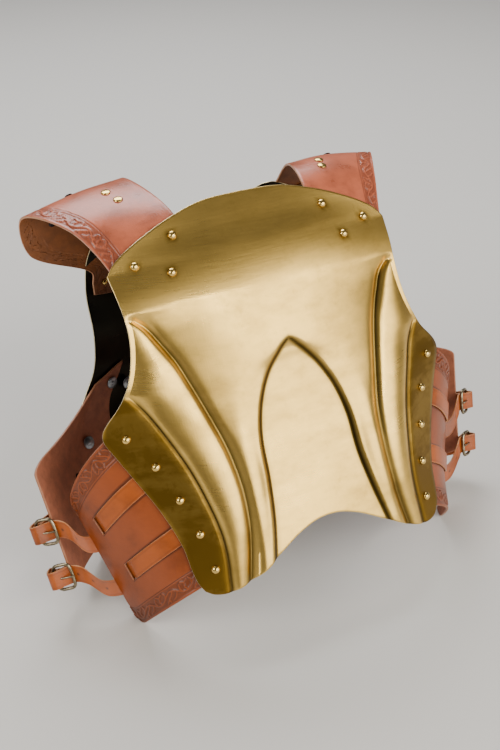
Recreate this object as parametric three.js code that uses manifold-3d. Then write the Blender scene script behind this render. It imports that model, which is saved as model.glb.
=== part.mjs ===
// Cuirass: a fluted brass breastplate and a plain backplate, joined by leather shoulder straps,
// and at each side by a tooled leather panel, a leather flap and two buckled belts.
// It leans back on a floor, resting on its two side panels and on the lower edge of its backplate.
//
// Millimetres. The torso is modelled upright and then leaned back:
// x is to the side, y is from the chest to the back, z is up along the chest.
// The zero point is on the midline, level with the lower shoulder rivets.

import * as THREE from 'three';
import { mergeVertices } from 'three/addons/utils/BufferGeometryUtils.js';
import Module from 'manifold-3d';

const wasm = await Module();
wasm.setup();

// Driving dimensions
const LEAN = 34.6;              // degrees that the torso leans back
const FLOOR_DROP = 385.2;       // from the zero point down to the floor
const PLATE = 1.6;              // sheet metal thickness
const LEATHER = 3.0;            // side panels, flaps and shoulder straps
const BELT = 2.2;               // thickness of the belts
const BELT_SKIVED = 1.0;        // the belt's thinned end, between flange and panel
const BELT_WIDTH = 21;
const GAP = 0.35;               // between pieces that touch
const SEAT = 1.0;               // between a curved plate and the leather that lies on it
const STEP_HEIGHT = 6;          // the arch's step from the ribs down to the belly
const STEP_HALF_WIDTH = 5;
const RIVET_HEAD = 5.2;         // radius of a domed rivet head
const RIVET_RISE = 4.4;
const RIVET_SHANK = 2.0;
const STUD_HEAD = 5.6;          // radius of a flat rivet head
const WASHER = 8;               // radius of a flap rivet's washer

// Breastplate, half outline and flutes: height, reach from the midline, depth
const SIDE_EDGE = [
  [12, 178, 14], [-20, 175, 7], [-50, 173, 6], [-77, 176, 9.5], [-100, 182.5, 14], [-116, 190, 19],
  [-130, 200, 27], [-145, 215.5, 36], [-152, 221, 39.5], [-161, 223, 41], [-181, 215, 40.5],
  [-209, 202, 39], [-254, 182.5, 34], [-300, 168.5, 32], [-330, 165, 32], [-345, 162, 31], [-355, 157, 30],
];
const INNER_FLUTE = [
  [-34, 172, 6], [-51, 153, 7.5], [-72, 141, 6.5], [-97, 129, 4], [-121, 121, 3], [-163, 109, 0.5],
  [-209, 98, -1.5], [-254, 94, -3], [-298, 96, 0.5], [-320, 99, 5], [-350, 105, 11],
];
const OUTER_FLUTE = [
  [-116, 190, 19], [-141, 174, 18], [-170, 161, 14], [-215, 144, 10.5], [-254, 134, 8.8],
  [-294, 127, 9], [-321, 126, 11.3], [-350, 128, 16],
];
// The arch under the ribs: height, reach, depth of its lip
const ARCH = [
  [-100, 0, -19], [-107, 8, -18], [-116, 17, -16], [-127, 27, -13], [-140, 36, -11], [-162, 47, -9],
  [-184, 54, -7], [-206, 58, -5.5], [-252, 60.5, -3], [-297, 67, -3.5], [-333, 75, -2.5], [-350, 79, -1],
];
// Midline of the chest: height, depth
const CHEST_MIDLINE = [
  [80, 12], [58, 6], [40, 1], [15, -8], [-20, -15], [-60, -18.5], [-100, -19], [-150, -17],
  [-200, -15], [-350, -15],
];
// Edges of the breastplate: reach, height
const TOP_EDGE = [[0, 76], [50, 73.5], [90, 62.5], [130, 46], [158, 31], [170, 22], [178, 12]];
const BOTTOM_EDGE = [
  [0, -311], [15, -312.5], [30, -317], [45, -323.5], [60, -332], [75, -340.5], [90, -349], [105, -356],
  [120, -361], [137, -363], [150, -360], [157, -355],
];

// Backplate: height, depth on the midline, reach of its side edge, depth of that edge
const BACK = [
  [96, 112, 122, 96], [60, 162, 156, 138], [22, 204, 165, 166], [-44, 238, 168, 181], [-80, 250, 176, 191],
  [-108, 256, 192, 203], [-140, 259, 212, 209], [-180, 262, 216, 214], [-230, 270, 208, 226],
  [-286, 288, 202, 246],
];
const BACK_TOP_EDGE = [[0, 56], [36, 66], [62, 90], [84, 95], [122, 84]];
const BACK_BOTTOM = -273.5;

const grid = (rows, columns, point) => rows.map((r) => columns.map((c) => point(r, c)));
const evenly = (count) => Array.from({ length: count + 1 }, (_, i) => i / count);
const clamp = (value, low, high) => Math.min(Math.max(value, low), high);
const mix = (from, to, share) => from + (to - from) * share;
const smooth = (share) => { const t = clamp(share, 0, 1); return t * t * (3 - 2 * t); };

// Reads one column of a table along its first one, with a smooth curve through the rows.
function follow(rows, along, column) {
  const rising = rows[1][0] > rows[0][0] ? 1 : -1;
  let i = 0;
  while (i < rows.length - 2 && (along - rows[i + 1][0]) * rising > 0) i += 1;
  const slope = (a, b) => (rows[b][column] - rows[a][column]) / (rows[b][0] - rows[a][0]);
  const span = rows[i + 1][0] - rows[i][0];
  const here = slope(i, i + 1);
  const before = i > 0 ? (slope(i - 1, i) + here) / 2 : here;
  const after = i < rows.length - 2 ? (here + slope(i + 1, i + 2)) / 2 : here;
  const t = (along - rows[i][0]) / span;
  if (t < 0) return rows[i][column] + before * span * t;
  if (t > 1) return rows[i + 1][column] + after * span * (t - 1);
  const t2 = t * t;
  const t3 = t2 * t;
  return rows[i][column] * (2 * t3 - 3 * t2 + 1) + before * span * (t3 - 2 * t2 + t)
    + rows[i + 1][column] * (3 * t2 - 2 * t3) + after * span * (t3 - t2);
}

// Reach of the breastplate's side edge and of its flutes at a height
const edgeReach = (z) => follow(SIDE_EDGE, clamp(z, -355, 12), 1);
const innerReach = (z) => Math.min(z > -34 ? 1e3 : follow(INNER_FLUTE, z, 1), edgeReach(z) - 10);
const outerReach = (z) => Math.min(z > -116 ? 1e3 : follow(OUTER_FLUTE, z, 1), edgeReach(z) - 5);
const archReach = (z) => (z > -100 ? -(z + 100) : follow(ARCH, z, 1));

// Depth of the breastplate's face at a reach and a height
function breastDepth(x, z) {
  const reach = Math.abs(x);
  const edge = edgeReach(z);
  const edgeDepth = follow(SIDE_EDGE, clamp(z, -355, 12), 2);
  const middle = follow(CHEST_MIDLINE, z, 1);
  const inner = innerReach(z);
  const outer = outerReach(z);
  const bowl = (r) => middle + (edgeDepth - middle) * (r / edge) ** 2;
  const low = smooth((-34 - z) / 8);
  const innerDepth = mix(bowl(inner), follow(INNER_FLUTE, z, 2), low);
  const lower = smooth((-116 - z) / 8);
  const outerDepth = mix(mix(innerDepth, edgeDepth, (outer - inner) / (edge - inner)),
    follow(OUTER_FLUTE, z, 2), lower);

  let depth;
  if (reach < inner) {
    depth = middle + (innerDepth - middle) * (reach / inner) ** 2;
    const ribs = smooth((-150 - z) / 60);
    const across = clamp((reach - archReach(z)) / (inner - archReach(z)), 0, 1);
    depth -= 2.5 * ribs * Math.sin(Math.PI * across) ** 2;
  } else if (reach < outer) {
    const share = (reach - inner) / (outer - inner);
    depth = mix(innerDepth, outerDepth, share) - 5 * low * 4 * share * (1 - share) * (outer - inner) / 50;
  } else {
    depth = mix(outerDepth, edgeDepth, (reach - outer) / (edge - outer));
  }
  // pressed flutes
  const channel = (distance, width) => Math.exp(-((distance / width) ** 2));
  depth += 3.2 * low * channel(reach - inner, 6);
  depth += 2.4 * lower * channel(reach - outer, 4);
  // belly, set back inside the arch
  if (z < -70) {
    const arch = archReach(z);
    const lean = 1 / Math.hypot(1, (archReach(z - 1) - archReach(z + 1)) / 2);
    const beyond = (reach - arch) * lean;
    const lip = follow(ARCH, Math.min(z, -100), 2);
    const atArch = middle + (innerDepth - middle) * (Math.max(arch, 0) / inner) ** 2;
    const dip = (lip - atArch) * channel(Math.max(beyond, 0), 16) * smooth((-90 - z) / 40);
    const belly = lip + STEP_HEIGHT - 0.0005 * (arch * arch - reach * reach);
    const inside = smooth((STEP_HALF_WIDTH - beyond) / (2 * STEP_HALF_WIDTH)) * smooth((-96 - z) / 16);
    depth = mix(depth + dip, belly, inside);
  }
  return depth;
}

// Columns of the breastplate from the midline to the side edge, at a height
function breastColumns(z) {
  const inner = innerReach(z);
  const outer = outerReach(z);
  const edge = edgeReach(z);
  const arch = Math.max(archReach(z), 14);
  const near = (from, to, distance) => (
    from + Math.sign(to - from) * Math.min(distance, Math.abs(to - from) * 0.3)
  );
  return [
    0, near(arch, 0, STEP_HALF_WIDTH), near(arch, inner, STEP_HALF_WIDTH), mix(arch, inner, 0.38),
    mix(arch, inner, 0.7), near(inner, arch, 8), inner, near(inner, outer, 8), mix(inner, outer, 0.55),
    near(outer, inner, 5), outer, near(outer, edge, 6), edge,
  ];
}

const mirroredCell = (columns, column) => column < (columns - 1) / 2;

// A closed shell from a grid of points on its face and the same grid on its back.
// A symmetric one has the diagonals of its first half of columns mirrored.
function shell(face, back, symmetric = false) {
  const rows = face.length;
  const columns = face[0].length;
  const positions = [...face.flat(), ...back.flat()].flatMap((p) => [p.x, p.y, p.z]);
  const at = (side, row, column) => side * rows * columns + row * columns + column;
  const triangles = [];
  const quad = (a, b, c, d) => triangles.push(a, b, c, a, c, d);
  for (let r = 0; r < rows - 1; r += 1) {
    for (let c = 0; c < columns - 1; c += 1) {
      const [a, b, e, d] = [[r, c], [r + 1, c], [r + 1, c + 1], [r, c + 1]];
      if (symmetric && mirroredCell(columns, c)) {
        quad(at(0, ...b), at(0, ...e), at(0, ...d), at(0, ...a));
        quad(at(1, ...d), at(1, ...e), at(1, ...b), at(1, ...a));
      } else {
        quad(at(0, ...a), at(0, ...b), at(0, ...e), at(0, ...d));
        quad(at(1, ...a), at(1, ...d), at(1, ...e), at(1, ...b));
      }
    }
  }
  for (let r = 0; r < rows - 1; r += 1) {
    quad(at(0, r, 0), at(1, r, 0), at(1, r + 1, 0), at(0, r + 1, 0));
    quad(at(0, r + 1, columns - 1), at(1, r + 1, columns - 1), at(1, r, columns - 1), at(0, r, columns - 1));
  }
  for (let c = 0; c < columns - 1; c += 1) {
    quad(at(0, 0, c + 1), at(1, 0, c + 1), at(1, 0, c), at(0, 0, c));
    quad(at(0, rows - 1, c), at(1, rows - 1, c), at(1, rows - 1, c + 1), at(0, rows - 1, c + 1));
  }
  const geometry = new THREE.BufferGeometry();
  geometry.setAttribute('position', new THREE.Float32BufferAttribute(positions, 3));
  geometry.setIndex(triangles);
  return geometry;
}

// Normals of a grid of points, on the side that the grid's rows and columns turn to
function gridNormals(grid) {
  const rows = grid.length - 1;
  const columns = grid[0].length - 1;
  return grid.map((row, r) => row.map((_, c) => {
    const down = grid[Math.min(r + 1, rows)][c].clone().sub(grid[Math.max(r - 1, 0)][c]);
    const across = grid[r][Math.min(c + 1, columns)].clone().sub(grid[r][Math.max(c - 1, 0)]);
    return down.cross(across).normalize();
  }));
}

// A grid whose border is moved out a little, along the grid
function grown(grid, by) {
  const rows = grid.length - 1;
  const columns = grid[0].length - 1;
  const inward = (index, last) => index + (index === 0 ? 1 : 0) - (index === last ? 1 : 0);
  return grid.map((row, r) => row.map((p, c) => {
    const inner = grid[inward(r, rows)][inward(c, columns)];
    const away = p.clone().sub(inner);
    return away.lengthSq() > 0 ? p.clone().add(away.setLength(by)) : p;
  }));
}

// A sheet of a thickness behind a grid of points; offset moves its face along the normal
function sheet(grid, thickness, offset = 0, symmetric = false) {
  const normals = gridNormals(grid);
  const moved = (distance) => grid.map((row, r) => row.map((p, c) => (
    p.clone().addScaledVector(normals[r][c], distance)
  )));
  return shell(moved(offset), moved(offset - thickness), symmetric);
}

// The same geometry with its faces turned over, and mirrored to the other side with its faces out
function flipped(geometry) {
  const copy = geometry.clone();
  const index = copy.getIndex().array;
  for (let i = 0; i < index.length; i += 3) [index[i], index[i + 1]] = [index[i + 1], index[i]];
  return copy;
}

const mirrored = (geometry) => flipped(geometry.clone().scale(-1, 1, 1));

// Breastplate point for a column and a share of the way from its top edge to its bottom edge
function breastPoint(column, share, side) {
  let z = mix(60, -340, share);
  let x = 0;
  for (let turn = 0; turn < 24; turn += 1) {
    x = breastColumns(z)[column];
    const wanted = mix(follow(TOP_EDGE, x, 1), follow(BOTTOM_EDGE, x, 1), share);
    z = mix(z, wanted, 0.7);
  }
  return new THREE.Vector3(side * x, breastDepth(x, z), z);
}

const BREAST_ROWS = 19;
const BREAST_COLUMNS = breastColumns(0).length;

function breastGrid() {
  return Array.from({ length: BREAST_ROWS + 1 }, (_, row) => {
    const share = row / BREAST_ROWS;
    const half = (side) => Array.from({ length: BREAST_COLUMNS }, (__, c) => breastPoint(c, share, side));
    return [...half(-1).reverse(), ...half(1).slice(1)];
  });
}

// Depth of the backplate's outer face at a reach and a height
function backDepth(x, z) {
  const middle = follow(BACK, z, 1);
  return middle + (follow(BACK, z, 3) - middle) * (Math.abs(x) / follow(BACK, z, 2)) ** 2;
}

const BACK_ROWS = 11;
const BACK_COLUMNS = 5;
const BACK_ROW_POWER = 1.35;     // above 1, the rows are closer together at the top

function backGrid() {
  const point = (column, share, side) => {
    let z = mix(60, BACK_BOTTOM, share);
    let x = 0;
    for (let turn = 0; turn < 24; turn += 1) {
      x = follow(BACK, z, 2) * column / BACK_COLUMNS;
      const reach = Math.min(x, 122);
      z = mix(z, mix(follow(BACK_TOP_EDGE, reach, 1), BACK_BOTTOM, share), 0.6);
    }
    return new THREE.Vector3(side * x, backDepth(x, z), z);
  };
  return Array.from({ length: BACK_ROWS + 1 }, (_, row) => {
    const share = (row / BACK_ROWS) ** BACK_ROW_POWER;
    const half = (side) => Array.from({ length: BACK_COLUMNS + 1 }, (__, c) => point(c, share, side));
    return [...half(1).reverse(), ...half(-1).slice(1)];
  });
}

// Place, outward normal and directions on a surface given as a function of two shares
function spot(surface, a, b, outward = 1) {
  const d = 0.004;
  const alongA = surface(a + d, b).sub(surface(a - d, b)).normalize();
  const alongB = surface(a, b + d).sub(surface(a, b - d)).normalize();
  const normal = alongB.clone().cross(alongA).normalize().multiplyScalar(outward);
  return { position: surface(a, b), normal, alongA, alongB };
}

// Place, outward normal and direction on the facet of a plate that lies behind or before x and z
function onFacets(grid) {
  return (x, z) => {
    const across = (p, q) => (q.x - p.x) * (z - p.z) - (q.z - p.z) * (x - p.x);
    for (let r = 0; r < grid.length - 1; r += 1) {
      for (let c = 0; c < grid[0].length - 1; c += 1) {
        const [a, b] = [grid[r][c], grid[r + 1][c]];
        const [e, d] = [grid[r + 1][c + 1], grid[r][c + 1]];
        const halves = mirroredCell(grid[0].length, c) ? [[b, e, d], [b, d, a]] : [[a, b, e], [a, e, d]];
        for (const corners of halves) {
          const shares = [0, 1, 2].map((k) => across(corners[(k + 1) % 3], corners[(k + 2) % 3]));
          const sum = shares[0] + shares[1] + shares[2];
          if (shares.every((share) => share / sum > -1e-6)) {
            const position = new THREE.Vector3();
            corners.forEach((p, k) => position.addScaledVector(p, shares[k] / sum));
            const second = corners[2].clone().sub(corners[0]);
            const normal = corners[1].clone().sub(corners[0]).cross(second).normalize();
            return { position, normal, alongA: new THREE.Vector3(1, 0, 0) };
          }
        }
      }
    }
    return null;
  };
}

// A rivet's place on a plate: raised clear of the facets that its head covers, with their spread
function seatOn(facets, x, z, radius) {
  const middle = facets(x, z);
  const around = evenly(8).map((share) => facets(
    x + radius * Math.cos(share * 2 * Math.PI),
    z + radius * Math.sin(share * 2 * Math.PI),
  )).filter((found) => found);
  const normal = around.reduce((sum, found) => sum.add(found.normal), middle.normal.clone()).normalize();
  const rises = around.map((found) => found.position.clone().sub(middle.position).dot(normal));
  const high = Math.max(0, ...rises);
  return {
    matrix: framed(middle.position.clone().addScaledVector(normal, high), normal, middle.alongA),
    spread: high - Math.min(0, ...rises),
  };
}

const onPlate = (depthAt, outward) => (x, z) => {
  const surface = (a, b) => new THREE.Vector3(a * 100, depthAt(a * 100, b * 100), b * 100);
  return spot(surface, x / 100, z / 100, outward);
};
const onBreastplate = onPlate(breastDepth, -1);
const onBackplate = onPlate(backDepth, 1);
const BREAST_GRID = breastGrid();
const BACK_GRID = backGrid();
const breastFacet = onFacets(BREAST_GRID);
const backFacet = onFacets(BACK_GRID);
const behind = ({ position, normal }, distance) => position.clone().addScaledVector(normal, -distance);

// Shoulder straps, from the inner to the outer edge: reach on the breastplate, then reach, depth and
// height of the crest, then reach on the backplate. The two straps have settled a little differently.
const STRAPS = {
  l: [[0, 84, 108, 95, 131, 84], [0.5, 128, 166, 98, 124, 122], [1, 173, 234, 104, 109, 156]],
  r: [[0, 84, 96, 68, 106, 84], [0.5, 128, 152, 74, 109, 122], [1, 176, 224, 84, 103, 156]],
};
const STRAP_FOOT_END = { breast: -18, back: 12 };   // heights where the strap's two feet end
const STRAP_COLUMNS = 4;

function strapPath(tag, across) {
  const column = (index) => follow(STRAPS[tag], across, index);
  const [front, reach, depth, height, rear] = [1, 2, 3, 4, 5].map(column);
  const onBreast = (x, z) => behind(onBreastplate(x, z), PLATE + SEAT);
  const onBack = (x, z) => behind(onBackplate(x, z), PLATE + SEAT);
  const frontTop = follow(TOP_EDGE, front, 1) - 4;
  const rearTop = mix(76, 38, across);
  const crest = new THREE.Vector3(reach, depth, height);
  const rise = onBreast(front, frontTop).lerp(crest, 0.5)
    .add(new THREE.Vector3(-6 * across, mix(-3, -17, across), mix(9, 12, across)));
  const fall = onBack(rear, rearTop).lerp(crest, 0.5)
    .add(new THREE.Vector3(mix(6, 33, across), 6, mix(5, -3, across)));
  return new THREE.CatmullRomCurve3([
    onBreast(front, STRAP_FOOT_END.breast),
    onBreast(front, mix(STRAP_FOOT_END.breast, frontTop, 0.5)),
    onBreast(front, frontTop),
    rise, crest, fall,
    onBack(rear, rearTop), onBack(rear, mix(rearTop, STRAP_FOOT_END.back, 0.5)),
    onBack(rear, STRAP_FOOT_END.back),
  ], false, 'centripetal');
}

function strapPoint(tag, along, across) {
  return strapPath(tag, across).getPoint(along);
}

// Rows of a strap, closer together over its crest
const STRAP_SHARES = [
  0, 0.125, 0.25, 0.3, 0.345, 0.385, 0.42, 0.455, 0.49, 0.525, 0.56, 0.6, 0.66, 0.75, 0.875, 1,
];

// Side panel: at its top and bottom, the height on the flange and the far corner's place
const PANEL_TOP = { flange: -163, reach: 264, depth: 106, height: -219 };
const PANEL_BOTTOM = { flange: -350, reach: 216, depth: 132, height: -390 };
const PANEL_LAP = 36;           // width of the part under the flange
const PANEL_SEAT = PLATE + SEAT + BELT_SKIVED + GAP;   // from the flange's face to the panel's

// Draws the corners of a leaf of leather in, near its free end
const cornerPull = (along, from, size) => (
  size * (1 - Math.sqrt(1 - clamp((along - from) / (1 - from), 0, 1) ** 2))
);

const PANEL_COLUMNS = [-1, -0.4, 0, 0.16, 0.34, 0.52, 0.7, 0.86, 0.94, 1];
const PANEL_ROWS = 6;
function panelPoint(along, level) {
  const across = mix(cornerPull(along, 0.9, 0.03), 1 - cornerPull(along, 0.86, 0.08), level);
  const flange = mix(PANEL_TOP.flange, PANEL_BOTTOM.flange, across);
  const far = new THREE.Vector3(
    mix(PANEL_TOP.reach, PANEL_BOTTOM.reach, across),
    mix(PANEL_TOP.depth, PANEL_BOTTOM.depth, across),
    mix(PANEL_TOP.height, PANEL_BOTTOM.height, across),
  );
  const seat = (x) => behind(onBreastplate(x, flange), PANEL_SEAT);
  const edge = edgeReach(flange);
  if (along <= 0) return seat(edge + along * PANEL_LAP);
  const start = seat(edge);
  const out = start.clone().sub(seat(edge - PANEL_LAP / 2)).normalize();
  const length = start.distanceTo(far);
  const knee = start.clone().addScaledVector(out, length * 0.45);
  knee.z = mix(start.z, far.z, 0.42);
  return new THREE.QuadraticBezierCurve3(start, knee, far).getPoint(along);
}

// Back flap: places along its top and bottom, from inside the backplate to its free edge
const FLAP_COLUMNS = [-0.35, -0.17, 0, 0.2, 0.4, 0.6, 0.8, 0.93, 1];
const FLAP_ROWS = 6;
// At the flap's top and bottom, the height on the backplate and the free corner's place
const FLAP_TOP = { plate: -96, reach: 295, depth: 113, height: -171 };
const FLAP_BOTTOM = { plate: -285, reach: 277, depth: 142, height: -324 };
function flapPoint(along, level) {
  const across = mix(cornerPull(along, 0.76, 0.08), 1 - cornerPull(along, 0.66, 0.14), level);
  const height = mix(FLAP_TOP.plate, FLAP_BOTTOM.plate, across);
  const inside = (x, z) => behind(onBackplate(x, z), PLATE + SEAT);
  const edge = follow(BACK, height, 2) - 6;
  if (along <= 0) return inside(edge + along * 130, height - along * 60);
  const far = new THREE.Vector3(
    mix(FLAP_TOP.reach, FLAP_BOTTOM.reach, across),
    mix(FLAP_TOP.depth, FLAP_BOTTOM.depth, across),
    mix(FLAP_TOP.height, FLAP_BOTTOM.height, across),
  );
  const start = inside(edge, height);
  const kneeHeight = mix(start.z, far.z, mix(0.8, 0.5, across));
  const knee = new THREE.Vector3(mix(240, 250, across), mix(190, 205, across), kneeHeight);
  return new THREE.QuadraticBezierCurve3(start, knee, far).getPoint(along);
}

// A turned solid about its own Y axis, from a profile of radius and height
function turned(profile, segments) {
  const points = profile.map(([radius, height]) => new THREE.Vector2(radius, height));
  return turnedOut(new THREE.LatheGeometry(points, segments));
}

// Six times the volume, below zero where the faces point in
function signedVolume(geometry) {
  const at = geometry.getAttribute('position');
  const index = geometry.getIndex().array;
  const [a, b, c] = [new THREE.Vector3(), new THREE.Vector3(), new THREE.Vector3()];
  let sum = 0;
  for (let i = 0; i < index.length; i += 3) {
    a.fromBufferAttribute(at, index[i]);
    b.fromBufferAttribute(at, index[i + 1]);
    c.fromBufferAttribute(at, index[i + 2]);
    sum += a.dot(b.cross(c));
  }
  return sum;
}

const turnedOut = (geometry) => (signedVolume(geometry) < 0 ? flipped(geometry) : geometry);

const dome = (radius, base, rise) => [[radius, base], [radius * 0.75, base + rise * 0.75], [0, base + rise]];

// A rivet through a stack of sheets: its head on the face, its foot spread behind the stack
function rivet(stack, head, foot) {
  const back = -stack - GAP;
  return turned([
    ...foot.map(([radius, depth]) => [radius, back - depth]),
    [RIVET_SHANK, back], [RIVET_SHANK, GAP], ...head,
  ], RIVET_SIDES);
}

const RIVET_SIDES = 8;
const PEENED = [[0, 1.3], [4, 0]];
const WASHERED = [[0, 2.4], [WASHER, 1.1], [WASHER, 0]];
const DOMED = dome(RIVET_HEAD, GAP, RIVET_RISE);
const FLAT_HEAD = dome(STUD_HEAD, 2 * GAP, 1.6);

// A frame of three axes at a place: Y along the normal, X along a given direction
function framed(position, normal, along) {
  const y = normal.clone().normalize();
  const z = new THREE.Vector3().crossVectors(along, y).normalize();
  const x = new THREE.Vector3().crossVectors(y, z);
  return new THREE.Matrix4().makeBasis(x, y, z).setPosition(position);
}

// Booleans
function solid(geometry) {
  const bare = new THREE.BufferGeometry();
  bare.setAttribute('position', geometry.getAttribute('position').clone());
  if (geometry.getIndex()) bare.setIndex(geometry.getIndex().clone());
  const merged = mergeVertices(bare, 1e-4);
  const kept = [];
  const index = merged.getIndex().array;
  for (let i = 0; i < index.length; i += 3) {
    const [a, b, c] = [index[i], index[i + 1], index[i + 2]];
    if (a !== b && b !== c && c !== a) kept.push(a, b, c);
  }
  const body = new wasm.Manifold(new wasm.Mesh({
    numProp: 3,
    vertProperties: new Float32Array(merged.getAttribute('position').array),
    triVerts: new Uint32Array(kept),
  }));
  return body;
}

function meshed(body) {
  const { vertProperties, triVerts } = body.getMesh();
  const geometry = new THREE.BufferGeometry();
  geometry.setAttribute('position', new THREE.Float32BufferAttribute(vertProperties, 3));
  geometry.setIndex(Array.from(triVerts));
  return geometry;
}

const without = (body, tool) => body.subtract(solid(tool));
const cut = (geometry, tools) => meshed(tools.reduce(without, solid(geometry)));
const joined = (geometries) => meshed(geometries.map(solid).reduce((body, other) => body.add(other)));

const HOLE_SIDES = 6;
const hole = (radius, at) => new THREE.CylinderGeometry(radius, radius, 16, HOLE_SIDES).applyMatrix4(at);

// A strip of leather through stations that each have a place, a width direction and a thickness
function strip(stations, width, samples, first = 0, final = samples) {
  const path = new THREE.CatmullRomCurve3(stations.map((s) => s.at), false, 'centripetal');
  const turns = new THREE.CatmullRomCurve3(stations.map((s) => s.turn), false, 'catmullrom', 0.5);
  const last = stations.length - 1;
  const face = [];
  const back = [];
  for (let i = first; i <= final; i += 1) {
    const t = i / samples;
    const index = Math.min(Math.floor(t * last), last - 1);
    const thick = mix(stations[index].thick, stations[index + 1].thick, t * last - index);
    const turn = turns.getPoint(t).normalize();
    const tangent = path.getTangent(t);
    const normal = new THREE.Vector3().crossVectors(turn, tangent).normalize();
    const centre = path.getPoint(t);
    const edge = (sideways, out) => centre.clone().addScaledVector(turn, sideways * width / 2)
      .addScaledVector(normal, out * thick / 2);
    face.push([edge(-1, 1), edge(1, 1)]);
    back.push([edge(-1, -1), edge(1, -1)]);
  }
  return turnedOut(shell(face, back));
}

const group = new THREE.Group();
const torso = new THREE.Group();
torso.rotation.x = -LEAN * Math.PI / 180;
torso.position.z = FLOOR_DROP;
group.add(torso);
group.updateMatrixWorld(true);
const floorCutter = new THREE.BoxGeometry(1200, 1200, 100).translate(0, 0, -50)
  .applyMatrix4(torso.matrixWorld.clone().invert());

const brass = { color: 0xbda45a, metalness: 1, roughness: 0.35 };
const darkBrass = { color: 0x6f5b35, metalness: 1, roughness: 0.4 };
const steel = { color: 0x7e8794, metalness: 1, roughness: 0.4 };
const blackened = { color: 0x1c1c20, metalness: 1, roughness: 0.4 };
const leather = { color: 0xa2522b, metalness: 0, roughness: 0.55 };
const paleLeather = { color: 0xc0682e, metalness: 0, roughness: 0.55 };

function add(name, geometry, look) {
  const mesh = new THREE.Mesh(geometry, new THREE.MeshStandardMaterial(look));
  mesh.name = name;
  torso.add(mesh);
}


// Room that leather leaves for a plate: the plate itself, its gap and some space before its face
const ROOM = 6;
const roomOf = (plate) => sheet(grown(plate, GAP), PLATE + GAP + ROOM, ROOM, true);
const breastRoom = roomOf(BREAST_GRID);
const backRoom = roomOf(BACK_GRID);
const breastHoles = [];
const backHoles = [];

// Rivets: reach and height on the breastplate or the backplate
const SHOULDER_RIVETS = [[110, 0], [147, 16], [96, 41]];
const SIDE_RIVETS = [[200, -166], [177, -204], [161, -247], [149, -290], [142, -333]];
const BACK_RIVETS = [[98, 34], [140, 26], [112, 62]];
const FLAP_RIVETS = [[155, -97], [131, -103], [204, -166]];
// Rivets and studs on the shoulder straps: share along, share across
const CREST_RIVETS = [[0.42, 0.38], [0.38, 0.38]];
const STRAP_STUDS = [[0.51, 0.55], [0.57, 0.72]];
const HOLE = (RIVET_SHANK + GAP) / Math.cos(Math.PI / HOLE_SIDES);

// Belts: share down the panel of the belt and where it comes out from behind it, share along it of the slot,
// sag of the belt, then the share down the flap of its buckle, and how far on from the flap's free edge
// and how far off its face the buckle's rear bar is
const BELTS = [
  { name: 'upper', across: 0.3, slot: 0.72, sag: 9, exit: 0.36, buckle: 0.52, reach: 9, stand: 16 },
  { name: 'lower', across: 0.66, slot: 0.68, sag: 9, exit: 0.73, buckle: 0.97, reach: 9, stand: 16 },
];
const FLAP_END = 0.99;          // share along the flap where its free edge is read
const BUCKLE_TURN = 82;         // degrees that a buckle is turned in from the flap, towards the panel
const BUCKLE = { halfLength: 11, halfWidth: 15.5, wire: 2 };
const PRONG = { wire: 1.15, eye: 3.55, tip: -14 };
const BUCKLE_SEGMENTS = 14;
const BUCKLE_SIDES = 5;
const EYE_SEGMENTS = 7;
const EYE_SIDES = 4;
const PIN_SIDES = 5;
// The chape, a short strap that holds the buckle: stand is from the flap's face to the middle of its loop,
// and rise is the length over which it leaves the flap
const CHAPE = { width: 17, thick: 2, stand: 5, rise: 45 };
const CHAPE_SAMPLES = 13;
const CHAPE_NOTCH = [22, 16, 3.8];   // room in its fold for the prong's eye
// Its route round the buckle's rear bar: place along from the buckle's middle, distance from its plane
const CHAPE_LOOP = [
  [52, -3.6], [34, -3.6], [18, -3.55], [11, -3.5], [7.5, 0], [11, 3.5], [17, 2.4], [24, -0.6], [36, -1],
];
const BELT_SAMPLES = 32;
const ON_PANEL_SAMPLES = 19;     // the belt's samples up to where it leaves the panel
const SLOT = { length: 13, deep: 14, play: 3 };   // cut through the panel where the belt goes in

// An oval ring of round wire in the plane of X and Z
function ring(halfLength, halfWidth, wire, segments, sides) {
  const positions = [];
  const triangles = [];
  const round = (value) => Math.sign(value) * Math.sqrt(Math.abs(value));
  for (let i = 0; i < segments; i += 1) {
    const turn = (i / segments) * 2 * Math.PI;
    const [c, s] = [Math.cos(turn), Math.sin(turn)];
    const centre = new THREE.Vector3(halfLength * round(c), 0, halfWidth * round(s));
    const out = new THREE.Vector3(c / halfLength, 0, s / halfWidth).normalize();
    for (let j = 0; j < sides; j += 1) {
      const roll = (j / sides) * 2 * Math.PI;
      const p = centre.clone().addScaledVector(out, wire * Math.cos(roll));
      positions.push(p.x, p.y + wire * Math.sin(roll), p.z);
      const at = (a, b) => (a % segments) * sides + (b % sides);
      triangles.push(at(i, j), at(i + 1, j), at(i + 1, j + 1), at(i, j), at(i + 1, j + 1), at(i, j + 1));
    }
  }
  const geometry = new THREE.BufferGeometry();
  geometry.setAttribute('position', new THREE.Float32BufferAttribute(positions, 3));
  geometry.setIndex(triangles);
  return turnedOut(geometry);
}

function rod(from, to, radius, sides) {
  const length = from.distanceTo(to);
  const at = framed(from.clone().lerp(to, 0.5), to.clone().sub(from), new THREE.Vector3(0, 0, 1));
  return new THREE.CylinderGeometry(radius, radius, length, sides).applyMatrix4(at);
}

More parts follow.
